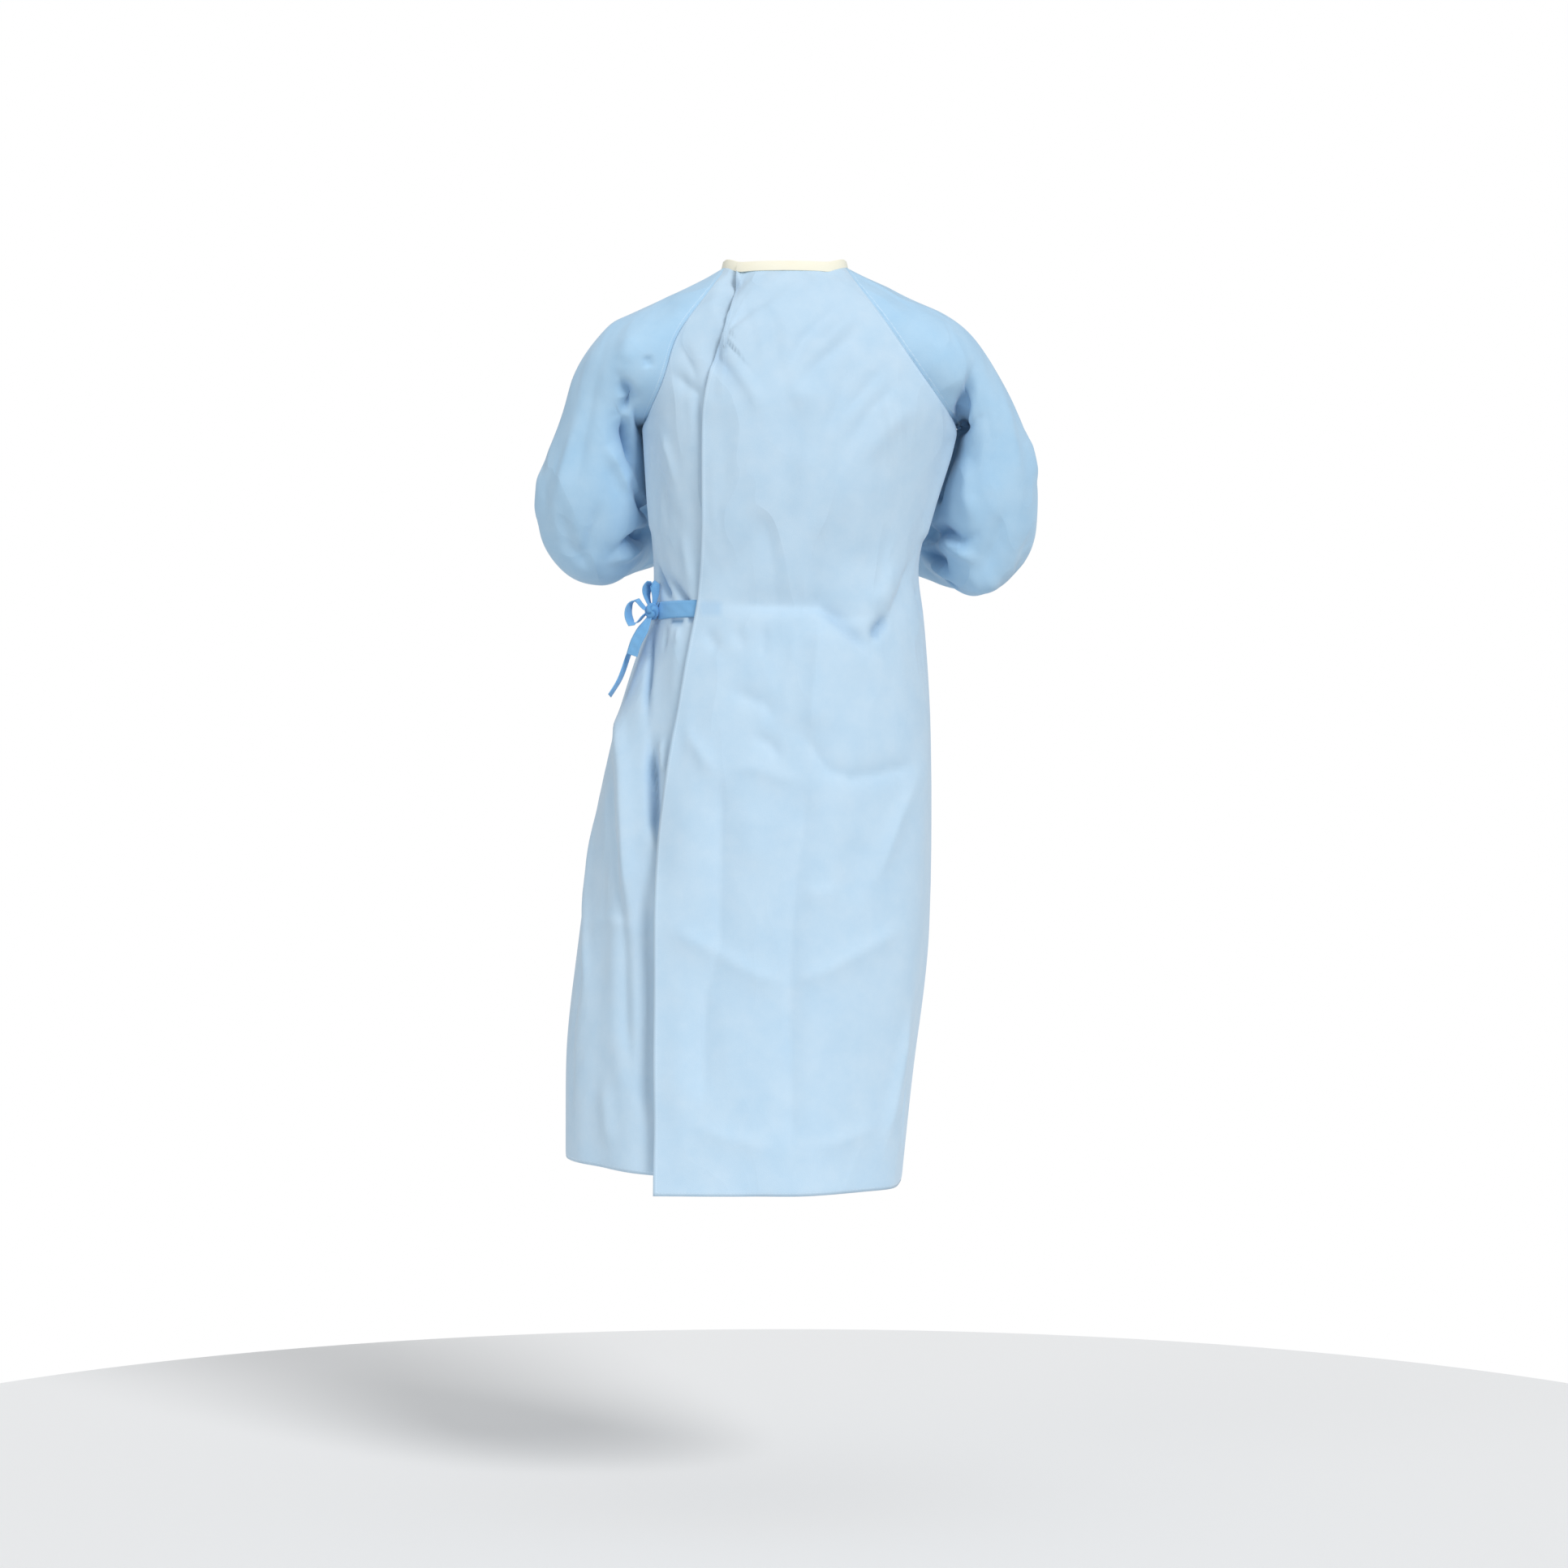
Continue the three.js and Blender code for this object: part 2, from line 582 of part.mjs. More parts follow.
// The sleeve's own stretch of the neck, between its raglan seams.
function neckOfSleeve({ points, normals }, side) {
  const first = YOKE_ROWS.length + 1;
  const stretch = (line) => {
    const part = line[0].slice(first, first + SLEEVE_TOP_STEPS - 1);
    return side < 0 ? part : part.reverse();
  };
  return { points: stretch(points), normals: stretch(normals) };
}

function topEdge({ points, normals }) {
  return { points: points[points.length - 1], normals: normals[normals.length - 1] };
}

// Knitted cuff, carrying on from the last ring of a sleeve.
function cuff(name, { points }, side) {
  const last = points[points.length - 1];
  const before = points[points.length - 2];
  const middle = (row) => {
    const sum = row.reduce((total, point) => total.add(point), new THREE.Vector3());
    return sum.divideScalar(row.length);
  };
  const centre = middle(last);
  const run = middle(last).sub(middle(before)).normalize();
  const grid = { points: [], normals: [] };
  for (let r = 0; r <= CUFF_STEPS; r += 1) {
    const share = r / CUFF_STEPS;
    const size = mix(1, CUFF_TAPER, ease(share, 0, 1));
    const hub = centre.clone().addScaledVector(run, SEAM_GAP + share * CUFF_LENGTH);
    const spokes = last.map((point) => point.clone().sub(centre));
    grid.points.push(spokes.map((spoke) => hub.clone().addScaledVector(spoke, size)));
    grid.normals.push(spokes.map((spoke) => spoke.clone().normalize()));
  }
  const geometry = wallGeometry(side < 0 ? flip(grid) : grid, CUFF_WALL, true);
  return clothPiece(name, geometry, CUFF_COLOUR, KNIT_ROUGHNESS);
}

// Binding: one strip on the neck edges, from the hidden inner wing round to the edge of the outer one.
function neckBinding(edges) {
  const line = edges.flatMap((edge) => edge.points);
  const normals = edges.flatMap((edge) => edge.normals);
  const rise = normals.map((normal) => Math.max(normal.z, 0) * CLOTH_WALL);
  const facing = line.map((point) => new THREE.Vector3(point.x, point.y, 0).normalize());
  const raised = (height, lean) => line.map((point, i) => {
    const foot = point.clone().addScaledVector(facing[i], lean);
    return foot.setZ(foot.z + rise[i] + height);
  });
  const points = [raised(SEAM_GAP, 0), raised(BINDING_HEIGHT, -BINDING_LEAN)];
  const geometry = wallGeometry({ points, normals: [facing, facing] }, BINDING_WALL);
  return clothPiece("neck_binding", geometry, BINDING_COLOUR);
}

// Strap that lies on a panel, between two of its columns, made from its points moved out.
function strapOnPanel(name, panel, { fromColumn, toColumn }) {
  const rows = [SKIRT_ROWS, SKIRT_ROWS + 1];
  const normals = rows.map((r) => panel.normals[r].slice(fromColumn, toColumn + 1));
  const points = rows.map((r, i) => panel.points[r].slice(fromColumn, toColumn + 1)
    .map((point, c) => point.clone().addScaledVector(normals[i][c], CLOTH_WALL + TIE_LIFT)));
  return clothPiece(name, wallGeometry({ points, normals }, TIE_WALL), TIE_COLOUR);
}

function knotPlace(panel) {
  const column = TIE_BACK.toColumn;
  const [low, high] = [panel.points[SKIRT_ROWS][column], panel.points[SKIRT_ROWS + 1][column]];
  const seat = low.clone().lerp(high, 0.5);
  const lift = CLOTH_WALL + TIE_LIFT + TIE_WALL + SEAM_GAP + KNOT_RADII.across;
  return seat.addScaledVector(panel.normals[SKIRT_ROWS][column], lift);
}

function tieKnot(middle) {
  const geometry = new THREE.SphereGeometry(1, KNOT_STEPS.around, KNOT_STEPS.up);
  const { across, deep, high } = KNOT_RADII;
  geometry.scale(across, deep, high);
  const piece = clothPiece("tie_knot", geometry, TIE_COLOUR);
  piece.position.copy(middle);
  return piece;
}

// Free strap along a route from the knot, gathered there, as wide as given along its width direction.
function strapOnRoute(name, middle, route, { width, leanX, leanZ, steps, looped }) {
  const curve = new THREE.CatmullRomCurve3(route.map(({ x, y, z }) => new THREE.Vector3(x, y, z)));
  const side = new THREE.Vector3(leanX, 1, leanZ).normalize();
  const rows = { points: [], normals: [] };
  for (let i = 0; i <= steps; i += 1) {
    const t = i / steps;
    const place = curve.getPoint(t);
    const run = curve.getTangent(t);
    const toKnot = looped ? Math.min(t, 1 - t) : t;
    const gathered = mix(KNOT_GATHER.width, 1, ease(toKnot, 0, KNOT_GATHER.share));
    const across = side.clone().addScaledVector(run, -side.dot(run)).normalize();
    const facing = run.clone().cross(across).normalize();
    const half = (gathered * width) / 2;
    rows.points.push([-half, half].map((reach) => place.clone().addScaledVector(across, reach)));
    rows.normals.push([facing, facing]);
  }
  const piece = clothPiece(name, wallGeometry(rows, TIE_WALL), TIE_COLOUR);
  piece.position.copy(middle);
  return piece;
}

const front = frontPanel();
const backLeft = backPanelLeft();
const backRight = backPanelRight();
const leftSleeve = sleeveGrid(SLEEVE_LEFT, -1);
const rightSleeve = sleeveGrid(SLEEVE_RIGHT, 1);
const knot = knotPlace(backLeft);
const panelPiece = (name, grid) => clothPiece(name, wallGeometry(grid, CLOTH_WALL), BODY_COLOUR);

const gown = new THREE.Group();
gown.add(
  panelPiece("front_panel", front),
  panelPiece("back_panel_left", backLeft),
  panelPiece("back_panel_right", backRight),
  sleevePiece("sleeve_left", leftSleeve, -1),
  sleevePiece("sleeve_right", rightSleeve, 1),
  cuff("cuff_left", leftSleeve, -1),
  cuff("cuff_right", rightSleeve, 1),
  neckBinding([
    topEdge(backLeft),
    neckOfSleeve(leftSleeve, -1),
    topEdge(front),
    neckOfSleeve(rightSleeve, 1),
    topEdge(backRight),
  ]),
  strapOnPanel("tie_back", backLeft, TIE_BACK),
  strapOnPanel("tie_front", backLeft, TIE_FRONT),
  tieKnot(knot),
  strapOnRoute("tie_loop_side", knot, LOOP_SIDE_ROUTE, LOOP_SIDE),
  strapOnRoute("tie_loop_up", knot, LOOP_UP_ROUTE, LOOP_UP),
  strapOnRoute("tie_end_short", knot, END_SHORT_ROUTE, END_SHORT),
  strapOnRoute("tie_end_long", knot, END_LONG_ROUTE, END_LONG),
);

export default gown;
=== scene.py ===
"""Looks of a surgical gown in its worn, hollow form, on the frame of its solids."""

import logging
import math
from dataclasses import dataclass, field, replace
from enum import Enum

import bmesh
import bpy
import numpy as np
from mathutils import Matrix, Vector, noise
from mathutils.bvhtree import BVHTree
from mathutils.kdtree import KDTree


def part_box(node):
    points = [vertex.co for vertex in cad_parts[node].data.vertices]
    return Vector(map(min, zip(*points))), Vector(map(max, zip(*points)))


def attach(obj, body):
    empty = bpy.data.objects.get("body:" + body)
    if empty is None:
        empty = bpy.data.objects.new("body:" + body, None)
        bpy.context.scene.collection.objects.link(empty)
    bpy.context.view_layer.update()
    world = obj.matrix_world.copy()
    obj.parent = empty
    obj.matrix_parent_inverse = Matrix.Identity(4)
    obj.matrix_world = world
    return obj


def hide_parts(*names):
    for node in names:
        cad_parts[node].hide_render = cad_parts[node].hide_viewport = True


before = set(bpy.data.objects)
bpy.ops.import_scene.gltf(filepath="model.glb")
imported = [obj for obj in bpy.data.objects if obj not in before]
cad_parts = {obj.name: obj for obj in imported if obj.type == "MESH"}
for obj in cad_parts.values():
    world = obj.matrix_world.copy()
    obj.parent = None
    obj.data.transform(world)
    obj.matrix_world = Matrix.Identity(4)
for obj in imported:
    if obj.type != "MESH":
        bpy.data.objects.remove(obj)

LOG = logging.getLogger("gown")
MM = 0.001
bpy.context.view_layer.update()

VIEW_POINT = Vector((0.0, -5.0, -0.661))
VIEW_LENS_MM = 89.5
FLOOR_Z = -1.57

BORDER = "border"
# Attribute of painted shade in deep folds and in the knot's grooves.
FOLD_SHADE = "fold"
RIM_PLAY = 0.02 * MM
HELD_SHARE = 0.15


class Slot(Enum):
    """Material slots of the record."""

    BODY = "body_cloth"
    SLEEVE = "sleeve_cloth"
    CUFF = "cuff_knit"
    BINDING = "binding"
    TIE = "tie_cloth"


class Side(Enum):
    """Side that a crease's points are seen from."""

    BACK = "back"
    FRONT = "front"
    LEFT = "left"
    RIGHT = "right"
    BELOW = "below"


class Held(Enum):
    """How a sheet is held."""

    DRAPED = "draped"
    HUNG = "hung"
    GATHERED = "gathered"


@dataclass(frozen=True)
class Crease:
    """A trough (depth below 0) or ridge along a line on the cloth, in millimetres.

    The points are places across and up as seen from one side, or across and forward from below.
    Left and right are the widths of the two flanks, seen along the line from outside. A sharp crease
    comes to an edge, others are round. Both ends fade out, but one that starts from a free edge is at
    its deepest there. Painted shade: a deep, narrow fold also gets a darker colour along its line, for the
    shade at its bottom.
    """

    points: tuple[tuple[float, float], ...]
    depth: float
    left: float = 14.0
    right: float = 14.0
    sharp: float = 0.0
    fade: float = 0.35
    painted_shade: float = 0.0
    from_edge: bool = False
    side: Side = Side.BACK

    def rays(self) -> list[tuple[Vector, Vector]]:
        """Gives rays to the cloth for the points and places between them.

        Returns:
            Start and direction of each ray, in metres.
        """
        found = []
        knots = np.arange(len(self.points))
        finer = np.linspace(0.0, knots[-1], 4 * knots[-1] + 1)
        across, up = np.array(self.points).T * MM
        for a, b in zip(np.interp(finer, knots, across), np.interp(finer, knots, up)):
            if self.side is Side.BACK:
                start, target = VIEW_POINT, Vector((a, 0.0, b))
            elif self.side is Side.FRONT:
                start, target = Vector((a, 3.0, b)), Vector((a, 0.0, b))
            elif self.side is Side.LEFT:
                start, target = Vector((-3.0, a, b)), Vector((0.0, a, b))
            elif self.side is Side.RIGHT:
                start, target = Vector((3.0, a, b)), Vector((0.0, a, b))
            else:
                start, target = Vector((a, b, -3.0)), Vector((a, b, 0.0))
            found.append((start, (target - start).normalized()))
        return found

    def line(self, tree: BVHTree) -> np.ndarray:
        """Lays the points on the cloth.

        Args:
            tree: Faces of the cloth.

        Returns:
            Places on the cloth, one row each; a point that misses goes to the nearest place.
        """
        places = []
        for start, direction in self.rays():
            hit, _, _, _ = tree.ray_cast(start, direction)
            if hit is None:
                reach = -start.dot(direction)
                hit, _, _, _ = tree.find_nearest(start + direction * reach)
            places.append(hit)
        return np.array(places)

    def heights(
        self, places: np.ndarray, normals: np.ndarray, tree: BVHTree
    ) -> tuple[np.ndarray, np.ndarray]:
        """Works out how far the crease lifts each place of the cloth, and how much painted shade it gets.

        Args:
            places: Vertices of the cloth.
            normals: Their outward normals.
            tree: Faces of the cloth.

        Returns:
            Heights in metres, and shares of the painted shade.
        """
        line = self.line(tree)
        steps = np.linalg.norm(np.diff(line, axis=0), axis=1)
        total = max(steps.sum(), 1e-6)
        nearest = np.full(len(places), np.inf)
        signed = np.zeros(len(places))
        along = np.zeros(len(places))
        run = 0.0
        for begin, end, length in zip(line[:-1], line[1:], steps):
            direction = (end - begin) / max(length, 1e-9)
            share = np.clip((places - begin) @ direction, 0.0, length)
            offset = places - (begin + share[:, None] * direction)
            distance = np.linalg.norm(offset, axis=1)
            closer = distance < nearest
            side = np.sign((offset * np.cross(direction, normals)).sum(axis=1))
            nearest = np.where(closer, distance, nearest)
            signed = np.where(closer, distance * side, signed)
            along = np.where(closer, (run + share) / total, along)
            run += length
        width = np.where(signed < 0.0, self.left, self.right) * MM
        ratio = nearest / width
        round_top = np.exp(-ratio * ratio)
        edge_top = np.exp(-1.4 * ratio) * np.exp(-0.25 * ratio * ratio)
        profile = (1.0 - self.sharp) * round_top + self.sharp * edge_top
        ends = smooth(0.0, self.fade, 1.0 - along)
        if not self.from_edge:
            ends *= smooth(0.0, self.fade, along)
        ends = HELD_SHARE + (1.0 - HELD_SHARE) * ends
        # The second value is painted shade: a darker colour along the fold's line.
        return self.depth * MM * profile * ends, self.painted_shade * round_top * ends


def smooth(low: float, high: float, value: np.ndarray) -> np.ndarray:
    """Eases values from 0 at low to 1 at high.

    Args:
        low: Value where the ease starts.
        high: Value where it ends.
        value: Values to ease.

    Returns:
        Eased values.
    """
    share = np.clip((value - low) / (high - low), 0.0, 1.0)
    return share * share * (3.0 - 2.0 * share)


def seen_from(side: Side, *creases: Crease) -> tuple[Crease, ...]:
    """Turns creases to the side that their points are seen from.

    Args:
        side: That side.
        creases: The creases.

    Returns:
        The same creases, on that side.
    """
    return tuple(replace(crease, side=side) for crease in creases)


WING_CREASES: tuple[Crease, ...] = (
    Crease(((-34, -196), (-36, -280), (-38, -360)), 7.0, left=16, right=16, fade=0.06, side=Side.RIGHT),
    # Pull from the neck to the pinch in the wing's edge
    Crease(
        ((-87, -97), (-40, -62), (22, -21)),
        6.5, left=9, right=36, sharp=0.3, fade=0.6, from_edge=True,
    ),
    Crease(((-85, -85), (-42, -51), (6, -15)), -6.0, left=16, right=9, fade=0.6, from_edge=True),
    Crease(
        ((-91, -106), (-69, -133), (-46, -166)),
        -8.5, left=8, right=11, sharp=0.3, fade=0.5, painted_shade=0.3, from_edge=True,
    ),
    Crease(
        ((-93, -108), (-88, -133), (-90, -160)),
        -7.0, left=9, right=8, sharp=0.3, fade=0.5, from_edge=True,
    ),
    Crease(((-74, -122), (-50, -145), (-27, -187)), 4.5, left=12, right=12),
    # Pulls from the right raglan seam
    Crease(((87, -33), (26, -88), (-8, -153)), -4.5, left=11, right=9, sharp=0.3),
    Crease(((108, -70), (43, -121), (9, -170)), -4.0, left=9, right=12, sharp=0.3),
    Crease(((98, -49), (56, -93), (20, -129)), 3.5, left=10, right=10),
    Crease(((136, -117), (90, -170), (67, -197)), -4.0, left=8, right=12, sharp=0.4),
    Crease(((90, -100), (77, -145), (52, -219)), -3.5, left=9, right=9, sharp=0.4),
    Crease(((152, -141), (113, -179), (77, -239)), -3.5, left=8, right=11, sharp=0.2),
    Crease(((171, -176), (129, -208), (96, -254)), 3.5, left=14, right=12),
    Crease(((20, -155), (9, -239), (-2, -301)), -3.5, left=16, right=14),
    Crease(((35, -218), (25, -280), (2, -332)), 3.0, left=16, right=18),
    # Small of the back
    Crease(((-104, -421), (-64, -384), (1, -303)), -6.0, left=18, right=26),
    Crease(((129, -239), (98, -322), (90, -384)), 4.0, left=26, right=24),
    Crease(((46, -322), (35, -374), (39, -421)), -2.5, left=18, right=14),
    # Waist
    Crease(
        ((-90, -429), (-25, -432), (43, -433), (81, -448), (122, -444)),
        -7.5, left=22, right=10, sharp=0.4,
    ),
    Crease(((45, -430), (81, -464), (110, -492)), -9.0, left=11, right=8, sharp=0.5, painted_shade=0.12),
    Crease(((135, -445), (121, -463), (112, -478)), -12.0, left=7, right=9, sharp=0.5, painted_shade=0.35),
    Crease(((164, -374), (150, -416), (133, -451)), -7.0, left=22, right=9, sharp=0.3),
    Crease(((144, -374), (129, -416), (108, -437)), 5.0, left=18, right=12),
    Crease(((168, -405), (179, -449)), -7.5, left=7, right=7, sharp=0.4),
    Crease(((-102, -462), (-83, -493)), -4.0, left=10, right=10, sharp=0.4),
    Crease(((-24, -455), (-29, -504)), -3.5, left=9, right=9, sharp=0.4),
    Crease(((-64, -457), (-50, -489)), -2.5, left=8, right=10),
    # Sharp folds left by packing
    Crease(((47, -447), (41, -509), (33, -598)), 7.5, left=36, right=26, sharp=1.0, fade=0.2),
    Crease(
        ((29, -650), (24, -728), (15, -776), (7, -911), (9, -1039), (10, -1144)),
        -7.0, left=24, right=28, sharp=0.8, fade=0.12,
    ),
    Crease(
        ((-82, -645), (-82, -784), (-84, -870), (-102, -936), (-104, -1082)),
        -7.0, left=24, right=22, sharp=0.8, fade=0.12,
    ),
    Crease(((-76, -644), (-42, -640), (-4, -652), (26, -658)), 4.0, left=18, right=16, sharp=0.8),
    Crease(
        ((14, -597), (35, -609), (56, -642), (87, -653), (122, -648), (173, -635)),
        -6.0, left=16, right=12, sharp=0.8, fade=0.2,
    ),
    Crease(((-76, -538), (-25, -559), (-8, -584)), -4.5, left=14, right=10, sharp=0.6),
    Crease(((-42, -597), (-17, -610), (-4, -633)), -5.0, left=10, right=12, sharp=0.6),
    Crease(((-127, -591), (-101, -631), (-83, -649)), 4.5, left=12, right=12, sharp=0.6),
    Crease(
        ((-148, -846), (-110, -865), (-68, -888), (-33, -907), (2, -917)),
        5.0, left=14, right=20, sharp=0.8, fade=0.2,
    ),
    Crease(
        ((8, -917), (56, -899), (102, -874), (152, -845)),
        5.0, left=14, right=22, sharp=0.8, fade=0.2,
    ),
    Crease(((20, -801), (75, -799)), 3.5, left=10, right=26, sharp=0.6),
    Crease(((175, -644), (150, -700), (124, -772), (111, -793)), 6.0, left=16, right=14, sharp=0.6),
    Crease(((-119, -1097), (-76, -1115), (-8, -1130)), 3.5, left=16, right=18, sharp=0.8),
    Crease(((33, -1130), (85, -1115), (127, -1096)), 3.5, left=16, right=18, sharp=0.8),
    Crease(((164, -941), (143, -1056), (129, -1134)), 7.0, left=20, right=10, sharp=0.5),
    Crease(((158, -1040), (152, -1134)), -7.0, left=8, right=8, sharp=0.3),
    Crease(((98, -718), (85, -822)), -3.0, left=22, right=26),
    Crease(((-43, -681), (-37, -780)), 2.5, left=24, right=24),
    Crease(((-133, -936), (-135, -1113)), 3.5, left=16, right=20),
)

INNER_CREASES: tuple[Crease, ...] = (
    Crease(((-34, -192), (-36, -275), (-38, -350)), 6.0, left=16, right=16, fade=0.06, side=Side.LEFT),
    Crease(((-75, -67), (-79, -103), (-75, -145)), -9.0, left=22, right=22, fade=0.5),
    Crease(((-150, -129), (-112, -160), (-106, -208)), -5.0, left=10, right=10, sharp=0.4),
    Crease(((-135, -92), (-123, -119), (-110, -145)), -4.0, left=9, right=8, sharp=0.5),
    Crease(((-160, -208), (-146, -245), (-137, -285)), 4.0, left=8, right=10, sharp=0.4),
    Crease(((-167, -239), (-154, -280), (-150, -332)), -4.0, left=8, right=8, sharp=0.3),
    Crease(
        ((-163, -380), (-158, -396), (-152, -411), (-144, -424)),
        -8.5, left=5, right=6, sharp=0.3, fade=0.25, painted_shade=0.7,
    ),
    Crease(
        ((-126, -427), (-138, -409), (-152, -393)),
        -7.5, left=6, right=6, sharp=0.3, fade=0.6, painted_shade=0.5, from_edge=True,
    ),
    Crease(((-131, -332), (-125, -374), (-119, -416)), 3.5, left=9, right=9),
    Crease(((-152, -459), (-154, -489)), -5.0, left=5, right=5, sharp=0.5),
    Crease(((-135, -459), (-137, -484)), 3.5, left=5, right=6, sharp=0.4),
    Crease(
        ((-170, -459), (-173, -504), (-177, -546), (-175, -587)),
        -9.5, left=6.5, right=5, sharp=0.5, fade=0.45, painted_shade=0.5,
    ),
    # Hollows under the strap, with the strap's shadow painted into them
    Crease(((-147, -451), (-137, -452), (-128, -452)), -3.0, left=4, right=4, fade=0.2, painted_shade=0.9),
    Crease(((-124, -449), (-112, -449)), -3.0, left=4, right=4, fade=0.2, painted_shade=0.8),
    Crease(
        ((-172, -598), (-170, -666), (-168, -712), (-156, -745)),
        -17.0, left=9, right=6, sharp=0.5, painted_shade=0.45,
    ),
    Crease(((-157, -598), (-152, -655)), 7.0, left=8, right=7),
    Crease(
        ((-214, -572), (-208, -645), (-206, -744), (-200, -853)),
        7.5, left=13, right=16, sharp=0.4, fade=0.25,
    ),
    Crease(
        ((-227, -598), (-223, -697), (-210, -837), (-206, -973), (-192, -1061)),
        -7.0, left=14, right=13, sharp=0.2, fade=0.2,
    ),
    Crease(((-249, -681), (-254, -801), (-258, -947)), 5.5, left=12, right=14, fade=0.25),
    Crease(((-181, -759), (-173, -905), (-173, -1113)), -7.0, left=13, right=14, fade=0.2),
    Crease(((-231, -1040), (-223, -1134)), 5.0, left=14, right=14),
    Crease(((-271, -832), (-273, -1113)), -4.0, left=9, right=9),
    Crease(((-264, -843), (-225, -835), (-183, -849)), 3.0, left=12, right=14, sharp=0.8),
)

FRONT_CREASES: tuple[Crease, ...] = (
    Crease(((36, -206), (38, -280), (40, -360)), -9.0, left=18, right=18, fade=0.15, side=Side.LEFT),
    Crease(((36, -206), (38, -280), (40, -360)), -11.0, left=18, right=18, fade=0.15, side=Side.RIGHT),
    *seen_from(
        Side.FRONT,
        Crease(((0, -500), (4, -800), (-4, -1150)), 6.3, left=34, right=30, sharp=0.9, fade=0.15),
        Crease(((112, -560), (108, -820), (114, -1150)), -5.6, left=30, right=30, sharp=0.9, fade=0.15),
        Crease(
            ((-118, -540), (-124, -820), (-120, -1140)),
            -5.6, left=30, right=32, sharp=0.9, fade=0.15,
        ),
        Crease(
            ((-215, -648), (-120, -640), (0, -652), (110, -640), (170, -646)),
            5.6, left=18, right=20, sharp=0.8, fade=0.1,
        ),
        Crease(
            ((-230, -890), (-120, -902), (0, -915), (112, -900), (165, -888)),
            -5.6, left=18, right=20, sharp=0.8, fade=0.1,
        ),
        Crease(((-190, -1090), (-60, -1104), (90, -1100)), 4.9, left=18, right=20, sharp=0.8),
        Crease(((-150, -430), (-90, -446), (-30, -440)), -9.8, left=20, right=10, sharp=0.4),
        Crease(((160, -425), (96, -446), (20, -450)), -9.8, left=10, right=20, sharp=0.4),
        Crease(((-140, -455), (-110, -540), (-96, -640)), -7.7, left=14, right=16),
        Crease(((140, -455), (118, -530), (100, -620)), -7.7, left=16, right=14),
        Crease(((-140, -170), (-90, -260), (-40, -330)), -7.0, left=14, right=16, sharp=0.2),
        Crease(((-120, -130), (-60, -190), (-20, -240)), -5.6, left=11, right=13, sharp=0.2),
        Crease(((150, -180), (100, -270), (60, -350)), -7.0, left=16, right=14, sharp=0.2),
        Crease(((116, -125), (70, -180), (24, -250)), -5.6, left=13, right=11, sharp=0.2),
        Crease(((-30, -90), (-6, -150), (14, -240)), 4.2, left=18, right=18),
        Crease(((-168, -330), (-120, -370), (-70, -390)), -7.0, left=14, right=10, sharp=0.3),
        Crease(((172, -330), (126, -372), (84, -398)), -7.0, left=10, right=14, sharp=0.3),
        Crease(((-200, -700), (-214, -900), (-205, -1120)), 9.1, left=18, right=20),
        Crease(((60, -690), (70, -900), (62, -1140)), 7.0, left=24, right=22),
    ),
)

LEFT_SLEEVE_CREASES: tuple[Crease, ...] = (
    *seen_from(
        Side.RIGHT,
        Crease(((34, -198), (36, -270), (40, -335)), 8.0, left=18, right=18, fade=0.06),
        Crease(((12, -206), (26, -199), (42, -188)), 8.0, left=10, right=10, fade=0.1),
    ),
    Crease(((-212, -139), (-198, -166), (-208, -189)), -13.0, left=9, right=8, sharp=0.3, painted_shade=0.35),
    Crease(((-210, -189), (-195, -224), (-187, -257)), -18.0, left=7, right=13, sharp=0.3, painted_shade=0.55),
    Crease(((-230, -223), (-212, -260), (-196, -293)), 9.5, left=14, right=8, sharp=0.3),
    Crease(((-193, -278), (-181, -303), (-173, -322)), -15.0, left=7, right=9, sharp=0.3, painted_shade=0.6),
    Crease(((-168, -328), (-191, -345), (-218, -364)), -17.0, left=13, right=8, sharp=0.3, painted_shade=0.6),
    Crease(((-173, -351), (-199, -368), (-230, -378)), 8.0, left=8, right=12, sharp=0.3),
    Crease(((-306, -244), (-318, -293), (-308, -338)), 5.0, left=20, right=20),
    Crease(((-150, 150), (-190, 90), (-240, 70)), -12.0, left=40, right=40, side=Side.BELOW),
    Crease(((-176, -110), (-173, -129)), -5.0, left=6, right=6),
    Crease(((-237, -114), (-254, -197), (-271, -287)), -4.5, left=11, right=13, sharp=0.2),
    Crease(((-260, -176), (-283, -260), (-296, -314)), 5.0, left=11, right=11, sharp=0.2),
    Crease(((-231, -291), (-248, -343), (-260, -389)), -5.0, left=12, right=10, sharp=0.2),
    Crease(((-287, -301), (-277, -351), (-248, -393)), -4.5, left=10, right=12, sharp=0.2),
    Crease(((-198, -83), (-204, -124)), 4.0, left=12, right=12),
    Crease(((-212, -64), (-240, -103), (-260, -145)), 3.5, left=16, right=18),
    *seen_from(
        Side.LEFT,
        Crease(((30, -306), (48, -328), (70, -338)), -7.0, left=9, right=8, sharp=0.3),
        Crease(((34, -262), (52, -300), (74, -320)), -6.5, left=10, right=10, sharp=0.3),
        Crease(((40, -180), (52, -240), (50, -290)), -6.0, left=12, right=12),
    ),
    *seen_from(
        Side.FRONT,
        Crease(((-240, -250), (-210, -290), (-180, -300)), -8.5, left=9, right=9, sharp=0.4),
        Crease(((-252, -300), (-215, -320), (-180, -318)), -7.5, left=9, right=9, sharp=0.4),
        Crease(((-190, -312), (-150, -300), (-116, -276)), 4.5, left=10, right=10),
    ),
)

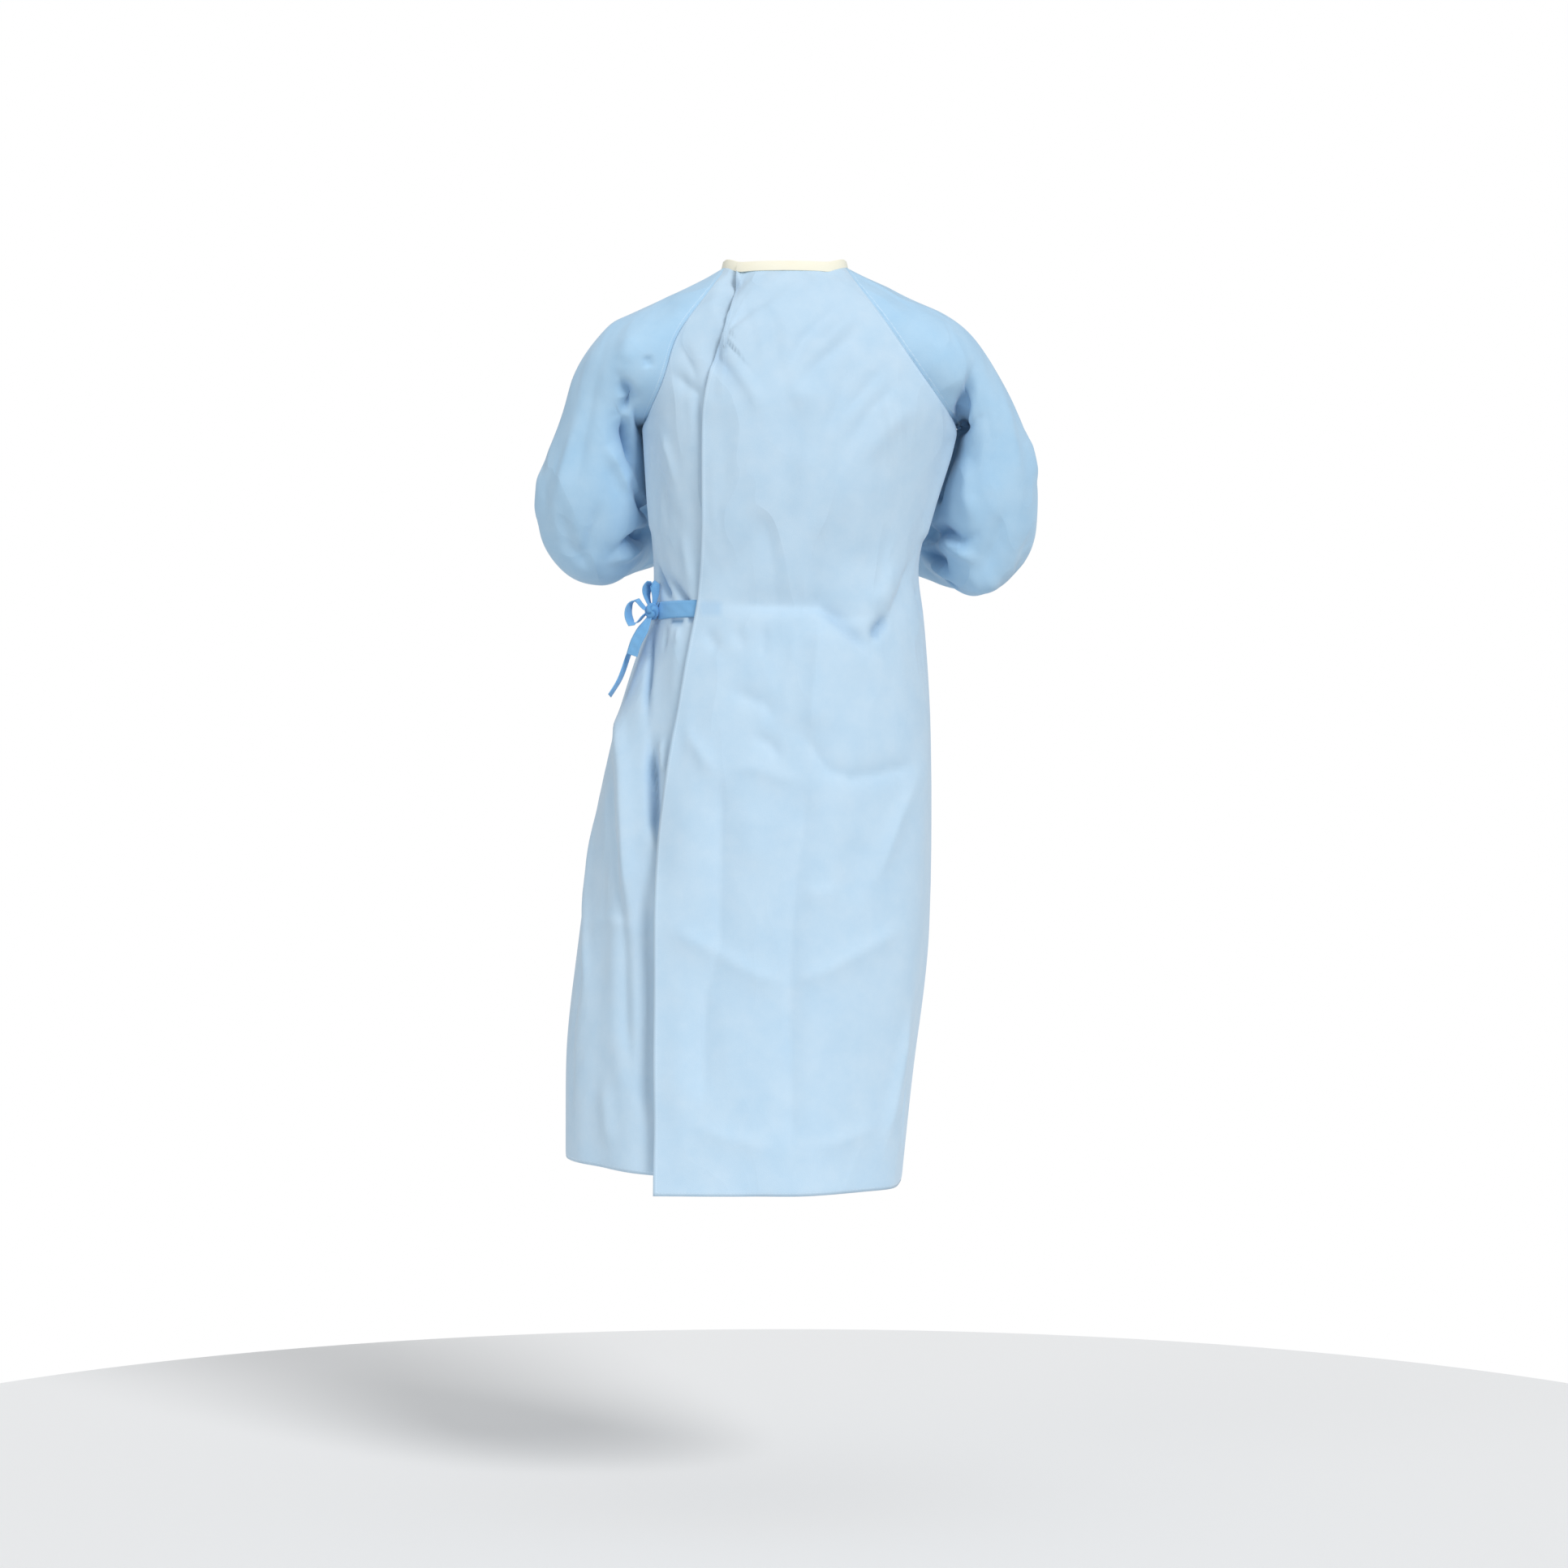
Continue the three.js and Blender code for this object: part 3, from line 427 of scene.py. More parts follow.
RIGHT_SLEEVE_CREASES: tuple[Crease, ...] = (
    *seen_from(
        Side.LEFT,
        Crease(((34, -200), (36, -280), (40, -345)), 10.0, left=18, right=18, fade=0.06),
        Crease(((12, -206), (26, -199), (42, -188)), 8.0, left=10, right=10, fade=0.1),
    ),
    Crease(
        ((244, -126), (235, -158), (225, -184), (221, -201)),
        -14.0, left=10, right=8, sharp=0.4, painted_shade=0.4,
    ),
    Crease(((221, -205), (235, -203), (250, -192)), -9.0, left=7, right=8, sharp=0.3, painted_shade=0.3),
    Crease(((212, -218), (205, -254), (192, -303)), -12.0, left=9, right=12, sharp=0.3, painted_shade=0.35),
    Crease(
        ((173, -345), (202, -338), (225, -350), (246, -343)),
        -15.0, left=11, right=8, sharp=0.4, painted_shade=0.5,
    ),
    Crease(((202, -347), (227, -364), (250, -376)), 10.0, left=8, right=11, sharp=0.3),
    Crease(((171, -357), (202, -377), (210, -397)), -14.0, left=9, right=9, sharp=0.4, painted_shade=0.5),
    Crease(((179, -374), (192, -389), (225, -408)), 9.0, left=8, right=8, sharp=0.3),
    Crease(((179, -391), (202, -401), (227, -414)), -12.0, left=8, right=8, sharp=0.4, painted_shade=0.6),
    Crease(((308, -208), (322, -241), (324, -280)), 5.0, left=18, right=18),
    Crease(((319, -332), (308, -374), (294, -397)), -5.0, left=18, right=18),
    Crease(((140, 150), (200, 85), (255, 60)), -20.0, left=45, right=45, side=Side.BELOW),
    Crease(((239, -239), (233, -291), (244, -332)), 6.0, left=12, right=12),
    Crease(((254, -145), (266, -218), (264, -291)), -4.5, left=12, right=14, sharp=0.2),
    Crease(((281, -155), (298, -239), (304, -291)), 4.0, left=12, right=12),
    Crease(((285, -301), (273, -353), (250, -397)), -5.0, left=12, right=12, sharp=0.2),
    Crease(((181, -103), (212, -145), (233, -155)), 3.5, left=16, right=16),
    Crease(((233, -410), (259, -407), (280, -397)), 7.0, left=20, right=20),
    *seen_from(
        Side.RIGHT,
        Crease(((30, -312), (48, -333), (70, -345)), -7.0, left=8, right=9, sharp=0.3),
        Crease(((34, -266), (52, -304), (74, -325)), -6.5, left=10, right=10, sharp=0.3),
        Crease(((40, -180), (52, -240), (50, -290)), -6.0, left=12, right=12),
    ),
    *seen_from(
        Side.FRONT,
        Crease(((245, -255), (212, -295), (180, -310)), -8.5, left=9, right=9, sharp=0.4),
        Crease(((255, -310), (215, -330), (180, -328)), -7.5, left=9, right=9, sharp=0.4),
        Crease(((195, -325), (150, -312), (116, -288)), 4.5, left=10, right=10),
    ),
)


class NodeTree:
    """Small helper that adds and links nodes of one tree."""

    def __init__(self, tree: bpy.types.NodeTree) -> None:
        """Keeps the tree."""
        self.tree = tree

    def add(self, kind: str, **settings: object) -> bpy.types.Node:
        """Adds a node.

        Args:
            kind: Its type.
            settings: Properties to set, or values of inputs by name with spaces as underscores.

        Returns:
            The node.
        """
        node = self.tree.nodes.new(kind)
        for name, value in settings.items():
            if hasattr(node, name):
                setattr(node, name, value)
            else:
                node.inputs[name.replace("_", " ")].default_value = value
        return node

    def link(self, source: bpy.types.NodeSocket, target: bpy.types.NodeSocket) -> None:
        """Links two sockets."""
        self.tree.links.new(source, target)

    def math(self, operation: str, first: object, second: object = 0.0) -> bpy.types.NodeSocket:
        """Adds a math node on sockets or numbers.

        Args:
            operation: Its operation.
            first: First socket or number.
            second: Second socket or number.

        Returns:
            The result's socket.
        """
        node = self.tree.nodes.new("ShaderNodeMath")
        node.operation = operation
        for socket, value in zip(node.inputs, (first, second)):
            if isinstance(value, bpy.types.NodeSocket):
                self.link(value, socket)
            else:
                socket.default_value = value
        return node.outputs[0]

    def mix(self, factor: bpy.types.NodeSocket, first: object, second: object) -> bpy.types.NodeSocket:
        """Mixes two colours, each a socket or three numbers.

        Args:
            factor: Share of the second colour.
            first: First colour.
            second: Second colour.

        Returns:
            The mixed colour's socket.
        """
        node = self.add("ShaderNodeMix", data_type="RGBA")
        self.link(factor, node.inputs["Factor"])
        for name, colour in (("A", first), ("B", second)):
            if isinstance(colour, bpy.types.NodeSocket):
                self.link(colour, node.inputs[name])
            else:
                node.inputs[name].default_value = (*colour, 1.0)
        return node.outputs["Result"]


class EffectGroup:
    """A shared effect: a node group with named inputs and outputs."""

    name = "Effect"
    inputs: tuple[tuple[str, str, float], ...] = ()
    outputs: tuple[tuple[str, str], ...] = ()

    @classmethod
    def group(cls) -> bpy.types.NodeTree:
        """Gives the group, made once.

        Returns:
            The node group.
        """
        found = bpy.data.node_groups.get(cls.name)
        if found is not None:
            return found
        tree = bpy.data.node_groups.new(cls.name, "ShaderNodeTree")
        for name, kind, value in cls.inputs:
            socket = tree.interface.new_socket(name, in_out="INPUT", socket_type=kind)
            if kind == "NodeSocketFloat":
                socket.default_value = value
        for name, kind in cls.outputs:
            tree.interface.new_socket(name, in_out="OUTPUT", socket_type=kind)
        nodes = NodeTree(tree)
        begin = nodes.add("NodeGroupInput")
        end = nodes.add("NodeGroupOutput")
        cls.fill(nodes, begin, end)
        return tree

    @classmethod
    def fill(cls, nodes: NodeTree, begin: bpy.types.Node, end: bpy.types.Node) -> None:
        """Adds the effect's nodes.

        Args:
            nodes: Tree to fill.
            begin: Node with the group's inputs.
            end: Node with the group's outputs.
        """
        raise NotImplementedError

    @classmethod
    def use(cls, nodes: NodeTree, **values: float) -> bpy.types.Node:
        """Adds a node that uses the group.

        Args:
            nodes: Tree of the material.
            values: Numbers for its inputs, by name with spaces as underscores.

        Returns:
            The group's node.
        """
        node = nodes.add("ShaderNodeGroup")
        node.node_tree = cls.group()
        for name, value in values.items():
            node.inputs[name.replace("_", " ")].default_value = value
        return node


class BondedFibre(EffectGroup):
    """Fibres pressed together at rows of fine points, with thinner and thicker patches."""

    name = "Bonded fibre"
    inputs = (
        ("Place", "NodeSocketVector", 0.0),
        ("Fibre per metre", "NodeSocketFloat", 900.0),
        ("Bonds per metre", "NodeSocketFloat", 620.0),
        ("Cloud per metre", "NodeSocketFloat", 26.0),
    )
    outputs = (("Height", "NodeSocketFloat"), ("Tone", "NodeSocketFloat"))

    @classmethod
    def fill(cls, nodes: NodeTree, begin: bpy.types.Node, end: bpy.types.Node) -> None:
        """Adds fibre noise, bond points and cloudy patches; arguments as in EffectGroup."""
        fibre = nodes.add("ShaderNodeTexNoise", Detail=6.0, Roughness=0.7, Distortion=1.5)
        bonds = nodes.add("ShaderNodeTexVoronoi", feature="F1")
        cloud = nodes.add("ShaderNodeTexNoise", Detail=4.0, Roughness=0.6)
        for node, scale in ((fibre, 1), (bonds, 2), (cloud, 3)):
            nodes.link(begin.outputs["Place"], node.inputs["Vector"])
            nodes.link(begin.outputs[scale], node.inputs["Scale"])
        pits = nodes.math("SMOOTH_MIN", bonds.outputs["Distance"], 0.45)
        height = nodes.math("ADD", nodes.math("MULTIPLY", fibre.outputs[0], 0.6), pits)
        nodes.link(height, end.inputs["Height"])
        grain = nodes.math("MULTIPLY", fibre.outputs[0], 0.35)
        patches = nodes.math("MULTIPLY", cloud.outputs[0], 0.65)
        nodes.link(nodes.math("ADD", patches, grain), end.inputs["Tone"])


class StitchRow(EffectGroup):
    """A row of stitches that runs at a set distance from the edge of a piece."""

    name = "Stitch row"
    inputs = (
        ("Place", "NodeSocketVector", 0.0),
        ("Border", "NodeSocketFloat", 0.0),
        ("Inset", "NodeSocketFloat", 0.004),
        ("Half width", "NodeSocketFloat", 0.0006),
        ("Stitches per metre", "NodeSocketFloat", 330.0),
    )
    outputs = (("Mask", "NodeSocketFloat"),)

    @classmethod
    def fill(cls, nodes: NodeTree, begin: bpy.types.Node, end: bpy.types.Node) -> None:
        """Adds the line's mask, cut into stitches; arguments as in EffectGroup."""
        off = nodes.math("ABSOLUTE", nodes.math("SUBTRACT", begin.outputs["Border"], begin.outputs["Inset"]))
        line = nodes.math("SUBTRACT", 1.0, nodes.math("DIVIDE", off, begin.outputs["Half width"]))
        line = nodes.math("MAXIMUM", line, 0.0)
        split = nodes.add("ShaderNodeSeparateXYZ")
        nodes.link(begin.outputs["Place"], split.inputs[0])
        run = nodes.math("ADD", split.outputs[2], nodes.math("MULTIPLY", split.outputs[0], 0.7))
        phase = nodes.math("FRACT", nodes.math("MULTIPLY", run, begin.outputs["Stitches per metre"]))
        gaps = nodes.math("LESS_THAN", phase, 0.72)
        nodes.link(nodes.math("MULTIPLY", line, gaps), end.inputs["Mask"])


class ShowThrough(EffectGroup):
    """Soft rectangle where something under a thin cloth shows through it."""

    name = "Show-through"
    inputs = (
        ("Place", "NodeSocketVector", 0.0),
        ("Middle X", "NodeSocketFloat", 0.0),
        ("Middle Z", "NodeSocketFloat", 0.0),
        ("Half width", "NodeSocketFloat", 0.02),
        ("Half height", "NodeSocketFloat", 0.01),
        ("Softness", "NodeSocketFloat", 0.008),
    )
    outputs = (("Mask", "NodeSocketFloat"),)

    @classmethod
    def fill(cls, nodes: NodeTree, begin: bpy.types.Node, end: bpy.types.Node) -> None:
        """Adds the mask from two soft bands; arguments as in EffectGroup."""
        split = nodes.add("ShaderNodeSeparateXYZ")
        nodes.link(begin.outputs["Place"], split.inputs[0])
        bands = []
        for axis, middle, half in ((0, "Middle X", "Half width"), (2, "Middle Z", "Half height")):
            off = nodes.math("ABSOLUTE", nodes.math("SUBTRACT", split.outputs[axis], begin.outputs[middle]))
            inside = nodes.math("SUBTRACT", begin.outputs[half], off)
            band = nodes.math("DIVIDE", inside, begin.outputs["Softness"])
            above = nodes.math("MAXIMUM", nodes.math("ADD", band, 0.5), 0.0)
            bands.append(nodes.math("MINIMUM", above, 1.0))
        nodes.link(nodes.math("MULTIPLY", bands[0], bands[1]), end.inputs["Mask"])


class FoldShade(EffectGroup):
    """Painted shade: a darker colour at the bottom of deep, narrow folds, where shade falls."""

    name = "Fold shade"
    inputs = (
        ("Colour", "NodeSocketColor", 0.0),
        ("Fold", "NodeSocketFloat", 0.0),
    )
    outputs = (("Colour", "NodeSocketColor"),)

    @classmethod
    def fill(cls, nodes: NodeTree, begin: bpy.types.Node, end: bpy.types.Node) -> None:
        """Paints the shade by multiplying the colour by a deep blue; arguments as in EffectGroup."""
        mix = nodes.add("ShaderNodeMix", data_type="RGBA", blend_type="MULTIPLY")
        mix.inputs["B"].default_value = (0.30, 0.46, 0.64, 1.0)
        nodes.link(begin.outputs["Fold"], mix.inputs["Factor"])
        nodes.link(begin.outputs["Colour"], mix.inputs["A"])
        nodes.link(mix.outputs["Result"], end.inputs["Colour"])


class Crumple(EffectGroup):
    """Fine creases that run slantwise over worn cloth, fewer in the skirt that hangs free."""

    name = "Crumple"
    inputs = (
        ("Place", "NodeSocketVector", 0.0),
        ("Folds per metre", "NodeSocketFloat", 13.0),
    )
    outputs = (("Height", "NodeSocketFloat"),)

    @classmethod
    def fill(cls, nodes: NodeTree, begin: bpy.types.Node, end: bpy.types.Node) -> None:
        """Adds ridges where a stretched noise passes its middle; arguments as in EffectGroup."""
        slant = nodes.add("ShaderNodeMapping", Rotation=(0.0, 0.5, 0.3), Scale=(1.0, 1.0, 0.45))
        wave = nodes.add("ShaderNodeTexNoise", Detail=1.5, Roughness=0.5, Distortion=0.5)
        patch = nodes.add("ShaderNodeTexNoise", Scale=5.0, Detail=1.0)
        nodes.link(begin.outputs["Place"], slant.inputs["Vector"])
        nodes.link(slant.outputs["Vector"], wave.inputs["Vector"])
        nodes.link(begin.outputs["Folds per metre"], wave.inputs["Scale"])
        nodes.link(begin.outputs["Place"], patch.inputs["Vector"])
        off = nodes.math("ABSOLUTE", nodes.math("SUBTRACT", wave.outputs[0], 0.5))
        ridge = nodes.math("SUBTRACT", 1.0, nodes.math("MULTIPLY", off, 4.0))
        split = nodes.add("ShaderNodeSeparateXYZ")
        nodes.link(begin.outputs["Place"], split.inputs[0])
        hang = nodes.add("ShaderNodeMapRange", From_Min=-0.65, From_Max=-0.4, To_Min=0.25, To_Max=1.0)
        nodes.link(split.outputs[2], hang.inputs["Value"])
        worn = nodes.math("MULTIPLY", ridge, patch.outputs[0])
        nodes.link(nodes.math("MULTIPLY", worn, hang.outputs[0]), end.inputs["Height"])


@dataclass(frozen=True)
class Patch:
    """A rectangle on the back, in millimetres, with a colour."""

    middle: tuple[float, float]
    size: tuple[float, float]
    colour: tuple[float, float, float]


TIE_PATCH = Patch(middle=(-92.0, -441.0), size=(27.0, 18.0), colour=(0.20, 0.45, 0.74))


@dataclass(frozen=True)
class ClothFinish:
    """Finish of a bonded cloth: colours of its thick and thin patches, and how it takes light."""

    name: str
    colour: tuple[float, float, float]
    thin: tuple[float, float, float]
    stitch: tuple[float, float, float] = (0.62, 0.78, 0.92)
    roughness: float = 0.82
    sheen: float = 0.25
    sheen_roughness: float = 0.5
    specular: float = 0.25
    bump: float = 0.25
    fibre_relief: float = 0.0004
    crumple: float = 0.0
    fold_relief: float = 0.012
    see_through: float = 0.0

    def material(self) -> bpy.types.Material:
        """Gives the finish's material, made once.

        Returns:
            The material.
        """
        found = bpy.data.materials.get(self.name)
        if found is not None:
            return found
        material = bpy.data.materials.new(self.name)
        material.use_nodes = True
        nodes = NodeTree(material.node_tree)
        shader = material.node_tree.nodes["Principled BSDF"]
        for name, value in (
            ("Roughness", self.roughness),
            ("Sheen Weight", self.sheen),
            ("Sheen Roughness", self.sheen_roughness),
            ("Specular IOR Level", self.specular),
        ):
            shader.inputs[name].default_value = value
        place = nodes.add("ShaderNodeTexCoord").outputs["Object"]
        cloth = BondedFibre.use(nodes)
        nodes.link(place, cloth.inputs["Place"])
        tone = nodes.add("ShaderNodeMapRange", From_Min=0.35, From_Max=0.65)
        nodes.link(cloth.outputs["Tone"], tone.inputs["Value"])
        colour = self.stitched(nodes, place, nodes.mix(tone.outputs[0], self.thin, self.colour))
        if self.see_through > 0.0:
            colour = self.seen_through(nodes, place, colour)
        # Painted shade: the colour goes darker in deep, narrow folds and in the knot's grooves.
        shade = FoldShade.use(nodes)
        nodes.link(colour, shade.inputs["Colour"])
        fold = nodes.add("ShaderNodeAttribute", attribute_name=FOLD_SHADE)
        nodes.link(fold.outputs["Fac"], shade.inputs["Fold"])
        nodes.link(shade.outputs["Colour"], shader.inputs["Base Color"])
        bump = nodes.add("ShaderNodeBump", Strength=self.bump, Distance=self.fibre_relief)
        nodes.link(cloth.outputs["Height"], bump.inputs["Height"])
        nodes.link(bump.outputs["Normal"], shader.inputs["Normal"])
        if self.crumple > 0.0:
            folds = Crumple.use(nodes)
            nodes.link(place, folds.inputs["Place"])
            relief = nodes.add("ShaderNodeBump", Strength=self.crumple, Distance=self.fold_relief)
            nodes.link(folds.outputs["Height"], relief.inputs["Height"])
            nodes.link(relief.outputs["Normal"], bump.inputs["Normal"])
        return material

    def stitched(
        self, nodes: NodeTree, place: bpy.types.NodeSocket, colour: bpy.types.NodeSocket
    ) -> bpy.types.NodeSocket:
        """Lays a row of stitches along the edges over a colour.

        Args:
            nodes: Tree of the material.
            place: Object coordinates.
            colour: Colour of the cloth.

        Returns:
            Colour with the stitches.
        """
        border = nodes.add("ShaderNodeAttribute", attribute_name=BORDER)
        row = StitchRow.use(nodes)
        nodes.link(place, row.inputs["Place"])
        nodes.link(border.outputs["Fac"], row.inputs["Border"])
        return nodes.mix(row.outputs["Mask"], colour, self.stitch)

    def seen_through(
        self, nodes: NodeTree, place: bpy.types.NodeSocket, colour: bpy.types.NodeSocket
    ) -> bpy.types.NodeSocket:
        """Lets the sewn end of the tie show through the wing.

        Args:
            nodes: Tree of the material.
            place: Object coordinates.
            colour: Colour of the cloth.

        Returns:
            Colour with the show-through.
        """
        patch = ShowThrough.use(
            nodes,
            Middle_X=TIE_PATCH.middle[0] * MM,
            Middle_Z=TIE_PATCH.middle[1] * MM,
            Half_width=TIE_PATCH.size[0] * MM / 2,
            Half_height=TIE_PATCH.size[1] * MM / 2,
        )
        nodes.link(place, patch.inputs["Place"])
        seen = nodes.math("MULTIPLY", patch.outputs["Mask"], self.see_through)
        return nodes.mix(seen, colour, TIE_PATCH.colour)


BODY_FINISH = ClothFinish(
    "Body nonwoven",
    (0.485, 0.665, 0.825),
    (0.55, 0.71, 0.85),
    crumple=0.6,
    see_through=0.24,
)
SLEEVE_FINISH = ClothFinish(
    "Sleeve nonwoven",
    (0.395, 0.62, 0.825),
    (0.455, 0.665, 0.85),
    crumple=0.6,
)
TIE_FINISH = ClothFinish(
    "Tie nonwoven",
    (0.17, 0.43, 0.74),
    (0.22, 0.48, 0.78),
    stitch=(0.17, 0.43, 0.74),
)
CUFF_FINISH = ClothFinish(
    "Cuff knit",
    (0.80, 0.83, 0.85),
    (0.86, 0.88, 0.90),
    stitch=(0.82, 0.85, 0.87),
    roughness=0.95,
)
BINDING_FINISH = ClothFinish(
    "Binding tape",
    (0.93, 0.89, 0.72),
    (0.95, 0.92, 0.78),
    stitch=(0.93, 0.89, 0.72),
)
FINISHES: dict[Slot, ClothFinish] = {
    Slot.BODY: BODY_FINISH,
    Slot.SLEEVE: SLEEVE_FINISH,
    Slot.TIE: TIE_FINISH,
    Slot.CUFF: CUFF_FINISH,
    Slot.BINDING: BINDING_FINISH,
}


def activate(piece: bpy.types.Object) -> None:
    """Makes a piece the only selected one, and active."""
    bpy.ops.object.select_all(action="DESELECT")
    piece.select_set(True)
    bpy.context.view_layer.objects.active = piece


def apply_modifier(piece: bpy.types.Object, name: str) -> None:
    """Applies a modifier of a piece."""
    activate(piece)
    bpy.ops.object.modifier_apply(modifier=name)


def places_of(piece: bpy.types.Object) -> np.ndarray:
    """Reads a piece's vertices.

    Args:
        piece: The piece.

    Returns:
        Places, one row each.
    """
    flat = np.empty(len(piece.data.vertices) * 3)
    piece.data.vertices.foreach_get("co", flat)
    return flat.reshape(-1, 3)


def normals_of(piece: bpy.types.Object) -> np.ndarray:
    """Reads a piece's vertex normals.

    Args:
        piece: The piece.

    Returns:
        Normals, one row each.
    """
    flat = np.empty(len(piece.data.vertices) * 3)
    piece.data.vertex_normals.foreach_get("vector", flat)
    return flat.reshape(-1, 3)


def move_to(piece: bpy.types.Object, places: np.ndarray) -> None:
    """Writes a piece's vertices."""
    piece.data.vertices.foreach_set("co", places.ravel())
    piece.data.update()


def add_item(name: str, data: bpy.types.ID) -> bpy.types.Object:
    """Adds an object to the scene.

    Args:
        name: Its name.
        data: Its mesh, curve, lamp or camera.

    Returns:
        The object.
    """
    item = bpy.data.objects.new(name, data)
    bpy.context.scene.collection.objects.link(item)
    return item


def mark(piece: bpy.types.Object, name: str, values: np.ndarray) -> None:
    """Keeps a number for each vertex as an attribute."""
    piece.data.attributes.new(name, "FLOAT", "POINT").data.foreach_set("value", values)


def round_off(piece: bpy.types.Object) -> None:
    """Shades a finished mesh smooth and reports it."""
    faces = piece.data.polygons
    faces.foreach_set("use_smooth", [True] * len(faces))
    LOG.info("%s: %d faces", piece.name, len(faces))


def tree_of(places: np.ndarray) -> KDTree:
    """Sorts places so that the nearest one is found fast.

    Args:
        places: Places, one row each.

    Returns:
        The tree.
    """
    tree = KDTree(len(places))
    for index, place in enumerate(places):
        tree.insert(Vector(place), index)
    tree.balance()
    return tree


def edge_loops(piece: bpy.types.Object) -> list[list[int]]:
    """Finds the open edges of a sheet.

    Args:
        piece: The sheet.

    Returns:
        Vertices of each loop, in order.
    """
    faces_at: dict[tuple[int, int], int] = {}
    for polygon in piece.data.polygons:
        for key in polygon.edge_keys:
            faces_at[key] = faces_at.get(key, 0) + 1
    beside: dict[int, list[int]] = {}
    for (first, second), count in faces_at.items():
        if count == 1:
            beside.setdefault(first, []).append(second)
            beside.setdefault(second, []).append(first)
    loops = []
    left = set(beside)
    while left:
        loop = [min(left)]
        left.discard(loop[0])
        while True:
            onward = [vertex for vertex in beside[loop[-1]] if vertex in left]
            if not onward:
                break
            loop.append(onward[0])
            left.discard(onward[0])
        loops.append(loop)
    return loops


def outer_wall(node: str, wall: float) -> bpy.types.Object:
    """Copies the outer face of a cloth solid as an open sheet of quads.

    Args:
        node: Name of the solid.
        wall: Thickness of the solid, which is the length of the edges across its rim.

    Returns:
        The sheet.
    """
    work = bmesh.new()
    work.from_mesh(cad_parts[node].data)
    bmesh.ops.remove_doubles(work, verts=work.verts, dist=1e-5)
    across = {edge for edge in work.edges if abs(edge.calc_length() - wall) < RIM_PLAY}
    rims = [face for face in work.faces if across.intersection(face.edges)]
    bmesh.ops.delete(work, geom=rims, context="FACES")
    islands = []
    left = set(work.faces)
    while left:
        island = [left.pop()]
        for face in island:
            for edge in face.edges:
                for other in edge.link_faces:
                    if other in left:
                        left.discard(other)
                        island.append(other)
        islands.append(island)
    islands.sort(key=lambda island: -sum(face.calc_area() for face in island))
    inner = [face for island in islands[1:] for face in island]
    bmesh.ops.delete(work, geom=inner, context="FACES")
    bmesh.ops.join_triangles(
        work,
        faces=work.faces,
        angle_face_threshold=math.radians(80),
        angle_shape_threshold=math.radians(80),
        topology_influence=1.8,
    )
    mesh = bpy.data.meshes.new(f"{node}_cloth")
    work.to_mesh(mesh)
    work.free()
    return add_item(f"{node}_cloth", mesh)


@dataclass(frozen=True)
class Cut:
    """Flat cut of what shows of a sheet, in metres, and how it is held."""

    width: float
    length: float
    area: float
    held: Held
    rests_on: tuple[str, ...]

    def state(self, piece: bpy.types.Object) -> None:
        """Does nothing; the piece is not used."""


